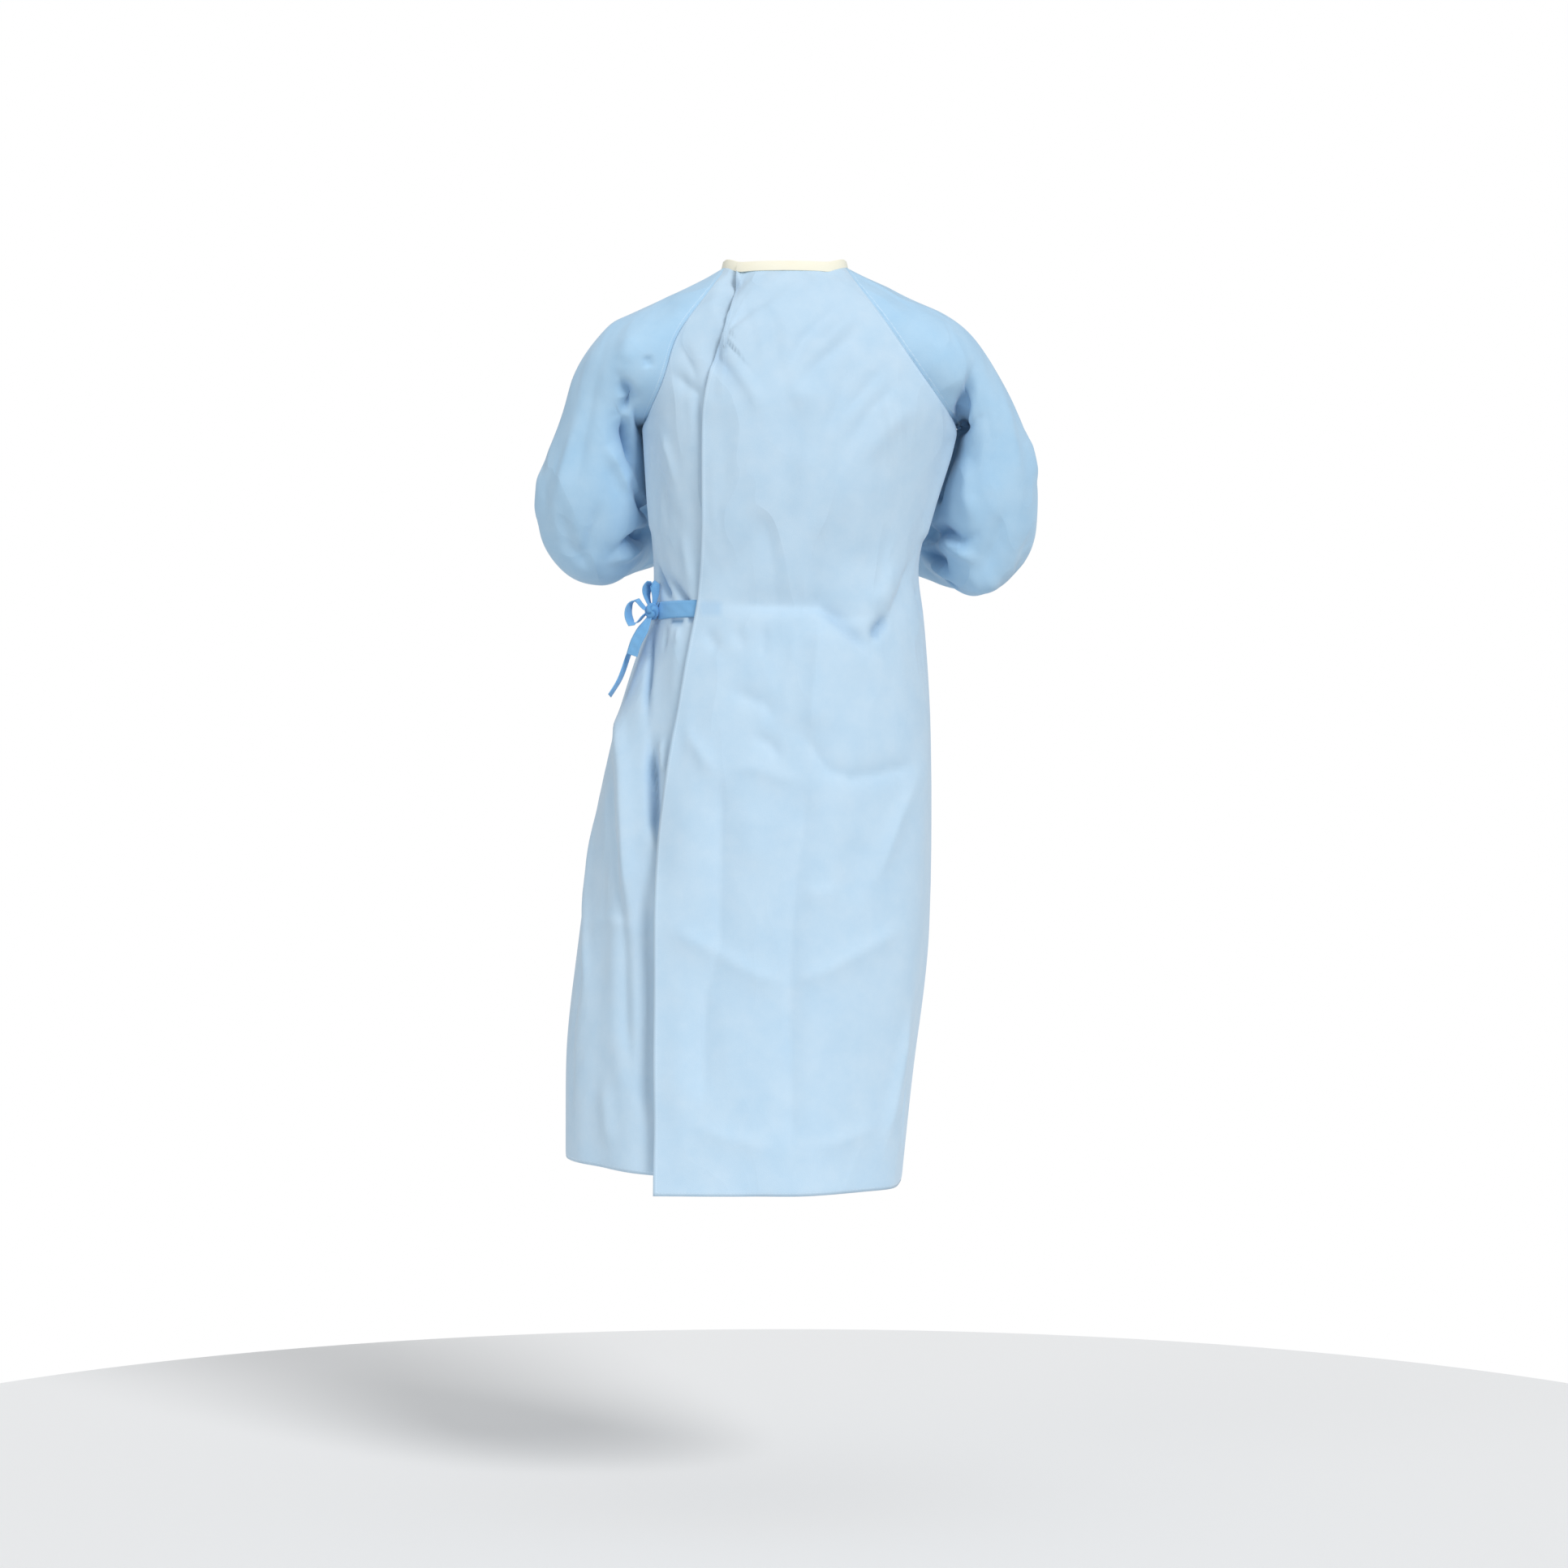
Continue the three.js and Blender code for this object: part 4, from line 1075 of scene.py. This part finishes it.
@dataclass
class ClothSheet:
    """A sheet of cloth on the outer face of its solid."""

    node: str
    slot: Slot
    cut: Cut
    creases: tuple[Crease, ...] = ()
    wall: float = 1.4 * MM
    levels: int = 3
    thickness: float = 0.6 * MM
    seam_dip: float = 0.7 * MM
    drift: float = 0.9 * MM
    grip_reach: float = 0.009
    dip_reach: float = 0.003
    calm_reach: float = 0.03
    smoothing: int = 8
    piece: bpy.types.Object = field(init=False)

    def build(self) -> None:
        """Makes the sheet: outer face, finer mesh, creases, edge distances."""
        self.piece = outer_wall(self.node, self.wall)
        self.keep_corners()
        finer = self.piece.modifiers.new("Finer", "SUBSURF")
        finer.levels = self.levels
        finer.render_levels = self.levels
        finer.boundary_smooth = "PRESERVE_CORNERS"
        apply_modifier(self.piece, "Finer")
        self.even_out()
        self.mark_border()
        self.form()
        round_off(self.piece)

    def even_out(self) -> None:
        """Takes the facets of the solid out of the finer sheet, away from its edges."""
        places = places_of(self.piece)
        ends = np.empty(len(self.piece.data.edges) * 2, dtype=np.int32)
        self.piece.data.edges.foreach_get("vertices", ends)
        first, second = ends.reshape(-1, 2).T
        count = np.bincount(ends, minlength=len(places))[:, None]
        free = np.ones((len(places), 1))
        free[[index for loop in edge_loops(self.piece) for index in loop]] = 0.0
        for _ in range(self.smoothing):
            total = np.zeros_like(places)
            np.add.at(total, first, places[second])
            np.add.at(total, second, places[first])
            places += 0.5 * free * (total / count - places)
        move_to(self.piece, places)

    def keep_corners(self) -> None:
        """Marks the corners of the cut so that the finer mesh keeps them."""
        places = places_of(self.piece)
        sharp = np.zeros(len(places))
        for loop in edge_loops(self.piece):
            ring = places[loop]
            ahead = np.roll(ring, -1, axis=0) - ring
            behind = ring - np.roll(ring, 1, axis=0)
            cosine = (ahead * behind).sum(axis=1) / (
                np.linalg.norm(ahead, axis=1) * np.linalg.norm(behind, axis=1)
            )
            sharp[loop] = cosine < math.cos(math.radians(40))
        mark(self.piece, "crease_vert", sharp)

    def mark_border(self) -> None:
        """Keeps each vertex's distance to the sheet's edge as an attribute."""
        places = places_of(self.piece)
        edge = [index for loop in edge_loops(self.piece) for index in loop]
        tree = tree_of(places[edge])
        away = [tree.find(Vector(place))[2] for place in places]
        mark(self.piece, BORDER, away)

    def border(self) -> np.ndarray:
        """Reads the distances to the edge.

        Returns:
            Distances in metres.
        """
        away = np.empty(len(self.piece.data.vertices))
        self.piece.data.attributes[BORDER].data.foreach_get("value", away)
        return away

    def form(self) -> None:
        """Moves the cloth by its creases, a slow drift and the dip at its seams."""
        places = places_of(self.piece)
        normals = normals_of(self.piece)
        tree = BVHTree.FromObject(self.piece, bpy.context.evaluated_depsgraph_get())
        height = np.zeros(len(places))
        # Painted shade along deep, narrow folds, kept as an attribute for the material.
        painted_shade = np.zeros(len(places))
        for crease in self.creases:
            lift, tone = crease.heights(places, normals, tree)
            height += lift
            painted_shade = np.maximum(painted_shade, tone)
        mark(self.piece, FOLD_SHADE, painted_shade)
        away = self.border()
        height *= self.grip(places, away)
        height += self.wander(places) * smooth(0.0, self.calm_reach, away)
        height -= self.seam_dip * np.exp(-away / self.dip_reach)
        height += self.extra(places, away)
        move_to(self.piece, places + normals * height[:, None])

    def grip(self, places: np.ndarray, away: np.ndarray) -> np.ndarray:
        """Works out how far a crease may move the cloth, which its seams hold.

        Args:
            places: Vertices of the cloth.
            away: Their distances to the edge.

        Returns:
            Shares, near 0 at a seam and 1 away from it.
        """
        return HELD_SHARE + (1.0 - HELD_SHARE) * smooth(0.0, self.grip_reach, away)

    def wander(self, places: np.ndarray) -> np.ndarray:
        """Works out the slow unevenness of worn cloth.

        Args:
            places: Vertices of the cloth.

        Returns:
            Heights in metres.
        """
        values = np.empty(len(places))
        for index, (x, y, z) in enumerate(places):
            broad = noise.noise(Vector((x * 9.0, y * 9.0, z * 5.0)))
            fine = noise.noise(Vector((x * 26.0 + 7.0, y * 26.0, z * 17.0)))
            slant = Vector((x * 12.0 + z * 5.0, y * 12.0 + 3.0, z * 8.0 - x * 4.0))
            crumple = abs(noise.noise(slant))
            values[index] = broad + 0.4 * fine - 2.2 * crumple
        return values * self.drift

    def extra(self, places: np.ndarray, away: np.ndarray) -> np.ndarray:
        """Gives further heights of one kind of sheet.

        Args:
            places: Vertices of the cloth.
            away: Their distances to the edge.

        Returns:
            Heights in metres.
        """
        return np.zeros(len(places))

    def dress(self) -> None:
        """Gives the sheet its thickness and finish, and its place in the frame."""
        shell = self.piece.modifiers.new("Thickness", "SOLIDIFY")
        shell.thickness = self.thickness
        shell.offset = -1.0
        apply_modifier(self.piece, "Thickness")
        enter(self.piece, self.node, self.slot)
        self.cut.state(self.piece)


def enter(piece: bpy.types.Object, node: str, slot: Slot) -> None:
    """Puts a finished piece in the frame: its body, the solid it stands for and its finish.

    Args:
        piece: The piece.
        node: Name of its solid.
        slot: Its material slot.
    """
    piece.data.materials.clear()
    piece.data.materials.append(FINISHES[slot].material())
    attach(piece, "root")
    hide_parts(node)


@dataclass
class InnerWing(ClothSheet):
    """Left back panel, which goes in under the outer wing."""

    tuck: float = 9.0 * MM
    neck_tuck: float = 3.0 * MM
    neck_lead: float = 0.028
    wing_edge: tuple[tuple[float, float], ...] = (
        (-1200.0, -158.0),
        (-850.0, -156.0),
        (-570.0, -131.0),
        (-430.0, -106.0),
        (-206.0, -100.0),
        (-80.0, -70.0),
        (0.0, -54.0),
    )

    def extra(self, places: np.ndarray, away: np.ndarray) -> np.ndarray:
        """Draws the covered part in, clear of the wing's creases; arguments and result as in ClothSheet."""
        heights, edges = zip(*self.wing_edge)
        edge = np.interp(places[:, 2] / MM, heights, edges) * MM
        by_neck = smooth(-0.095, -0.055, places[:, 2])
        inside = places[:, 0] - edge + self.neck_lead * by_neck
        covered = smooth(-0.002, 0.03, inside) * (places[:, 1] < 0.0)
        depth = self.tuck + self.neck_tuck * by_neck
        return -depth * covered * smooth(0.004, 0.018, -places[:, 2])


@dataclass
class OuterWing(ClothSheet):
    """Right back panel, whose free edge stands off the inner wing a little."""

    lift: float = 2.8 * MM
    reach: float = 7.0 * MM
    flare: float = 3.5 * MM
    flare_height: float = -55.0 * MM

    def free(self, places: np.ndarray) -> np.ndarray:
        """Marks the side of the free edge.

        Args:
            places: Vertices of the cloth.

        Returns:
            Shares, 1 on that side.
        """
        x, y, z = places.T
        return smooth(-0.03, -0.06, x) * smooth(-0.008, -0.03, z) * (y < 0.0)

    def grip(self, places: np.ndarray, away: np.ndarray) -> np.ndarray:
        """Lets creases run over the free edge; arguments and result as in ClothSheet."""
        return np.maximum(super().grip(places, away), self.free(places))

    def extra(self, places: np.ndarray, away: np.ndarray) -> np.ndarray:
        """Lifts the free edge unevenly; arguments and result as in ClothSheet."""
        height = places[:, 2]
        uneven = 0.65 + 0.35 * np.sin(height * 37.0 + 1.1 * np.sin(height * 11.0))
        flare = self.flare * np.exp(-(((height - self.flare_height) / 0.03) ** 2))
        return (self.lift * uneven + flare) * self.free(places) * np.exp(-away / self.reach)


@dataclass
class Sleeve(ClothSheet):
    """Raglan sleeve, gathered into its cuff."""

    smoothing: int = 24
    gathers: int = 22
    gather_depth: float = 1.6 * MM
    gather_reach: float = 0.06

    def extra(self, places: np.ndarray, away: np.ndarray) -> np.ndarray:
        """Gathers the cloth at the wrist; arguments and result as in ClothSheet."""
        rings = [places[loop] for loop in edge_loops(self.piece)]
        ring = min(rings, key=lambda loop: np.ptp(loop, axis=0).sum())
        middle = ring.mean(axis=0)
        first = ring[0] - middle
        first /= np.linalg.norm(first)
        axis = np.cross(first, ring[len(ring) // 4] - middle)
        axis /= np.linalg.norm(axis)
        second = np.cross(axis, first)
        offset = places - middle
        turn = np.arctan2(offset @ second, offset @ first)
        near = np.exp(-((np.abs(offset @ axis) / self.gather_reach) ** 2))
        near *= (np.linalg.norm(offset, axis=1) < 0.14) * smooth(0.0, 0.008, away)
        uneven = 1.0 + 0.5 * np.sin(3.0 * turn + 0.7)
        return self.gather_depth * near * uneven * np.sin(self.gathers * turn + 2.0 * np.sin(2.0 * turn))


@dataclass
class Cuff(ClothSheet):
    """Knitted cuff with ribs along the arm."""

    wall: float = 2.0 * MM
    smoothing: int = 0
    ribs: int = 46
    rib_depth: float = 0.55 * MM

    def extra(self, places: np.ndarray, away: np.ndarray) -> np.ndarray:
        """Adds the ribs; arguments and result as in ClothSheet."""
        ends = [places[loop].mean(axis=0) for loop in edge_loops(self.piece)]
        axis = (ends[1] - ends[0]) / np.linalg.norm(ends[1] - ends[0])
        first = np.cross(axis, (0.0, 0.0, 1.0))
        first /= np.linalg.norm(first)
        second = np.cross(axis, first)
        offset = places - ends[0]
        turn = np.arctan2(offset @ second, offset @ first)
        return self.rib_depth * np.sin(self.ribs * turn)


@dataclass
class Binding:
    """Neck binding: a folded strip on the neck edge."""

    node: str = "neck_binding"
    cut: Cut = Cut(0.73, 0.0102, 0.0072, Held.GATHERED, ("front_panel",))
    rounding: float = 0.8 * MM
    overlap: float = 3.5 * MM
    spread: float = 1.0 * MM
    evening: tuple[float, float] = (0.09, 0.16)
    piece: bpy.types.Object = field(init=False)

    def even_out(self, ring: list[bmesh.types.BMVert], reach: float) -> None:
        """Takes the corners out of one edge of the tape, round the neck.

        Args:
            ring: Vertices of that edge.
            reach: Angle that the heights are evened out over.
        """
        places = np.array([vertex.co for vertex in ring])
        turn = np.arctan2(places[:, 1] - places[:, 1].mean(), places[:, 0])
        apart = np.abs((turn[:, None] - turn + math.pi) % (2.0 * math.pi) - math.pi)
        share = np.exp(-((apart / reach) ** 2))
        for vertex, height in zip(ring, share @ places[:, 2] / share.sum(axis=1)):
            vertex.co.z = height

    def build(self) -> None:
        """Copies the solid and rounds its edges."""
        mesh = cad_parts[self.node].data.copy()
        mesh.name = "neck_binding_tape"
        self.piece = add_item("neck_binding_tape", mesh)
        work = bmesh.new()
        work.from_mesh(mesh)
        bmesh.ops.remove_doubles(work, verts=work.verts, dist=0.5 * MM)
        bmesh.ops.dissolve_degenerate(work, edges=work.edges, dist=0.1 * MM)
        work.normal_update()
        foot = {vertex for face in work.faces if face.normal.z < -0.7 for vertex in face.verts}
        for vertex in foot:
            sideways = Vector((vertex.normal.x, vertex.normal.y, 0.0)).normalized()
            vertex.co += sideways * self.spread - Vector((0.0, 0.0, self.overlap))
        self.even_out([vertex for vertex in work.verts if vertex in foot], self.evening[0])
        self.even_out([vertex for vertex in work.verts if vertex not in foot], self.evening[1])
        work.to_mesh(mesh)
        work.free()
        bevel = self.piece.modifiers.new("Rounding", "BEVEL")
        bevel.width = self.rounding
        bevel.segments = 3
        bevel.angle_limit = math.radians(50)
        apply_modifier(self.piece, "Rounding")
        round_off(self.piece)

    def dress(self) -> None:
        """Gives the binding its finish and its place in the frame."""
        enter(self.piece, self.node, Slot.BINDING)
        self.cut.state(self.piece)


@dataclass
class Knot:
    """Knot of the bow: wound cloth with slanting folds."""

    node: str = "tie_knot"
    folds: int = 3
    fold_depth: float = 0.24
    shade: float = 0.75
    steps: int = 48
    piece: bpy.types.Object = field(init=False)

    def build(self) -> None:
        """Makes the knot inside the box of its solid."""
        low, high = (Vector(corner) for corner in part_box(self.node))
        bpy.ops.object.select_all(action="DESELECT")
        bpy.ops.mesh.primitive_uv_sphere_add(segments=self.steps, ring_count=self.steps // 2, radius=1.0)
        self.piece = bpy.context.view_layer.objects.active
        self.piece.name = "tie_knot_wound"
        places = places_of(self.piece)
        turn = np.arctan2(places[:, 2], places[:, 0])
        lean = places[:, 1] * 2.2
        groove = (1.0 - np.abs(np.sin(self.folds * (turn + lean) / 2.0))) ** 2
        size = 1.0 - self.fold_depth * groove
        # Painted shade: the whole knot darker, most of all in its grooves.
        mark(self.piece, FOLD_SHADE, self.shade * (0.35 + 0.65 * groove))
        half = np.array((high - low) / 2.0)
        move_to(self.piece, places * size[:, None] * half + np.array((low + high) / 2.0))
        round_off(self.piece)

    def dress(self) -> None:
        """Gives the knot its finish and its place in the frame."""
        enter(self.piece, self.node, Slot.TIE)


@dataclass
class Strap(ClothSheet):
    """A length of the tie, folded along its edges."""

    smoothing: int = 0
    fold_depth: float = 0.8 * MM
    drawn_in: float = 4.5 * MM
    drawn_reach: float = 4.0 * MM

    def form(self) -> None:
        """Shapes the strap and draws the end by the knot into it."""
        super().form()
        low, high = (np.array(corner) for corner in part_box("tie_knot"))
        offset = (low + high) / 2.0 - places_of(self.piece)
        distance = np.linalg.norm(offset, axis=1)
        ratio = np.linalg.norm(offset / ((high - low) / 2.0), axis=1)
        gap = np.maximum(distance * (1.0 - 1.0 / ratio), 0.0)
        pull = self.drawn_in * np.exp(-((gap / self.drawn_reach) ** 2)) / distance
        move_to(self.piece, places_of(self.piece) + offset * pull[:, None])

    def extra(self, places: np.ndarray, away: np.ndarray) -> np.ndarray:
        """Raises the folded edges a little over the middle; arguments and result as in ClothSheet."""
        ripple = np.sin(places[:, 2] * 420.0 + places[:, 0] * 350.0)
        return self.fold_depth * (np.exp(-away / 0.002) * 0.5 + 0.35 * ripple * smooth(0.0, 0.008, away))


@dataclass
class Seam:
    """Sewn seam between sheets: a cord of overlocked edges just under the cloth."""

    name: str
    node: str
    slot: Slot
    of: ClothSheet
    beside: tuple[ClothSheet, ...]
    radius: float = 1.1 * MM
    sink: float = 0.9 * MM
    reach: float = 6.0 * MM
    piece: bpy.types.Object = field(init=False)

    def runs(self) -> list[np.ndarray]:
        """Finds the stretches of the sheet's edge that lie beside its neighbours.

        Returns:
            Places along each stretch, sunk under the cloth.
        """
        near = []
        for sheet in self.beside:
            places = places_of(sheet.piece)
            near.extend(places[index] for loop in edge_loops(sheet.piece) for index in loop)
        tree = tree_of(near)
        places = places_of(self.of.piece)
        places = places - normals_of(self.of.piece) * self.sink
        found = []
        for loop in edge_loops(self.of.piece):
            close = [tree.find(Vector(places[index]))[2] < self.reach for index in loop]
            if not any(close):
                continue
            start = close.index(False) if False in close else 0
            order = loop[start:] + loop[:start]
            flags = close[start:] + close[:start]
            run: list[int] = []
            for index, flag in zip(order, flags):
                if flag:
                    run.append(index)
                elif run:
                    found.append(places[run])
                    run = []
            if run:
                found.append(places[run])
        return [run[::2] for run in found if len(run) > 12]

    def build(self) -> None:
        """Sweeps the cord along the seam."""
        curve = bpy.data.curves.new(self.name, "CURVE")
        curve.dimensions = "3D"
        curve.bevel_depth = self.radius
        curve.bevel_resolution = 2
        for run in self.runs():
            spline = curve.splines.new("POLY")
            spline.points.add(len(run) - 1)
            spline.points.foreach_set("co", np.column_stack((run, np.ones(len(run)))).ravel())
        self.piece = add_item(self.name, curve)
        activate(self.piece)
        bpy.ops.object.convert(target="MESH")
        LOG.info("%s: %d faces", self.name, len(self.piece.data.polygons))

    def dress(self) -> None:
        """Gives the seam its finish and its place in the frame."""
        enter(self.piece, self.node, self.slot)


TIE_LENGTHS: tuple[tuple[str, float, float], ...] = (
    ("tie_back", 0.075, 0.022),
    ("tie_front", 0.055, 0.022),
    ("tie_loop_side", 0.075, 0.017),
    ("tie_loop_up", 0.060, 0.018),
    ("tie_end_short", 0.055, 0.018),
    ("tie_end_long", 0.115, 0.018),
)


@dataclass
class Gown:
    """The whole gown."""

    front: ClothSheet = field(
        default_factory=lambda: ClothSheet(
            "front_panel",
            Slot.BODY,
            Cut(0.66, 1.12, 0.607, Held.HUNG, ("tie_knot",)),
            FRONT_CREASES,
        )
    )
    inner: InnerWing = field(
        default_factory=lambda: InnerWing(
            "back_panel_left",
            Slot.BODY,
            Cut(0.42, 1.15, 0.403, Held.HUNG, ("tie_knot",)),
            INNER_CREASES,
        )
    )
    outer: OuterWing = field(
        default_factory=lambda: OuterWing(
            "back_panel_right",
            Slot.BODY,
            Cut(0.48, 1.16, 0.466, Held.HUNG, ("back_panel_left",)),
            WING_CREASES,
        )
    )
    left: Sleeve = field(
        default_factory=lambda: Sleeve(
            "sleeve_left",
            Slot.SLEEVE,
            Cut(0.42, 0.72, 0.233, Held.DRAPED, ("front_panel",)),
            LEFT_SLEEVE_CREASES,
        )
    )
    right: Sleeve = field(
        default_factory=lambda: Sleeve(
            "sleeve_right",
            Slot.SLEEVE,
            Cut(0.42, 0.72, 0.239, Held.DRAPED, ("front_panel",)),
            RIGHT_SLEEVE_CREASES,
        )
    )

    def trim(self) -> list[ClothSheet | Binding | Knot]:
        """Lists the cuffs, the binding and the pieces of the tie.

        Returns:
            The trim, not yet built.
        """
        found: list[ClothSheet | Binding | Knot] = [Binding(), Knot()]
        for side in ("left", "right"):
            cut = Cut(0.215, 0.065, 0.0135, Held.GATHERED, (f"sleeve_{side}",))
            found.append(Cuff(f"cuff_{side}", Slot.CUFF, cut, levels=4, drift=0.0, seam_dip=0.4 * MM))
        for node, length, width in TIE_LENGTHS:
            cut = Cut(length, width, length * width, Held.HUNG, ("tie_knot",))
            found.append(Strap(node, Slot.TIE, cut, drift=0.3 * MM, seam_dip=0.0, thickness=0.8 * MM))
        return found

    def seams(self) -> list[Seam]:
        """Lists the seams between the sheets.

        Returns:
            The seams, not yet built.
        """
        body = (self.front, self.inner, self.outer)
        return [
            Seam("seam_raglan_left", "sleeve_left", Slot.SLEEVE, self.left, body, 1.8 * MM, 1.5 * MM),
            Seam("seam_raglan_right", "sleeve_right", Slot.SLEEVE, self.right, body, 1.8 * MM, 1.5 * MM),
            Seam("seam_sides", "front_panel", Slot.BODY, self.front, (self.inner, self.outer)),
        ]

    def build(self) -> None:
        """Builds and dresses every piece."""
        sheets = [self.front, self.inner, self.outer, self.left, self.right]
        for sheet in sheets:
            sheet.build()
        for seam in self.seams():
            seam.build()
            seam.dress()
        for piece in self.trim():
            piece.build()
            piece.dress()
        for sheet in sheets:
            sheet.dress()


@dataclass(frozen=True)
class SoftSun:
    """A far, broad lamp that shines from one side."""

    name: str
    place: tuple[float, float, float]
    strength: float
    spread: float

    def build(self) -> None:
        """Adds the lamp."""
        lamp = bpy.data.lights.new(self.name, "SUN")
        lamp.energy = self.strength
        lamp.angle = math.radians(self.spread)
        item = add_item(self.name, lamp)
        item.location = self.place
        item.rotation_euler = (-Vector(self.place)).to_track_quat("-Z", "Y").to_euler()


@dataclass
class Studio:
    """Pale floor, white surroundings, soft lamps and the camera."""

    world: float = 0.55
    floor_radius: float = 1.5
    lamps: tuple[SoftSun, ...] = (
        SoftSun("Key", (1.7, -2.8, 2.5), 1.6, 20.0),
        SoftSun("Fill", (-2.6, -2.4, 0.8), 0.5, 40.0),
    )

    def build(self) -> None:
        """Adds floor, world, lamps and camera."""
        self.surroundings()
        bpy.ops.object.select_all(action="DESELECT")
        bpy.ops.mesh.primitive_circle_add(
            vertices=128, radius=self.floor_radius, fill_type="NGON", location=(0.0, 0.0, FLOOR_Z)
        )
        floor = bpy.context.view_layer.objects.active
        floor.name = "Floor"
        material = bpy.data.materials.new("Pale floor")
        material.use_nodes = True
        shader = material.node_tree.nodes["Principled BSDF"]
        shader.inputs["Base Color"].default_value = (0.93, 0.93, 0.93, 1.0)
        shader.inputs["Roughness"].default_value = 0.9
        floor.data.materials.append(material)
        for lamp in self.lamps:
            lamp.build()
        self.camera()

    def surroundings(self) -> None:
        """Makes the world white: full white to the eye, softer as light."""
        scene = bpy.context.scene
        scene.view_settings.view_transform = "Standard"
        world = bpy.data.worlds.new("White")
        scene.world = world
        world.use_nodes = True
        nodes = NodeTree(world.node_tree)
        light = world.node_tree.nodes["Background"]
        light.inputs["Color"].default_value = (0.97, 0.985, 1.0, 1.0)
        light.inputs["Strength"].default_value = self.world
        seen = nodes.add("ShaderNodeBackground", Color=(1.0, 1.0, 1.0, 1.0), Strength=1.0)
        path = nodes.add("ShaderNodeLightPath")
        mix = nodes.add("ShaderNodeMixShader")
        nodes.link(path.outputs["Is Camera Ray"], mix.inputs[0])
        nodes.link(light.outputs[0], mix.inputs[1])
        nodes.link(seen.outputs[0], mix.inputs[2])
        nodes.link(mix.outputs[0], world.node_tree.nodes["World Output"].inputs["Surface"])

    def camera(self) -> None:
        """Adds the camera at the photo's place, level, looking at the back."""
        data = bpy.data.cameras.new("Camera")
        data.lens = VIEW_LENS_MM
        data.sensor_width = 36.0
        data.clip_end = 200.0
        item = add_item("Camera", data)
        item.location = VIEW_POINT
        item.rotation_euler = (math.radians(90), 0.0, 0.0)
        bpy.context.scene.camera = item


def main() -> None:
    """Builds the gown and its studio."""
    logging.basicConfig(level=logging.INFO, format="%(name)s: %(message)s")
    Gown().build()
    Studio().build()


if __name__ == "__main__":
    main()
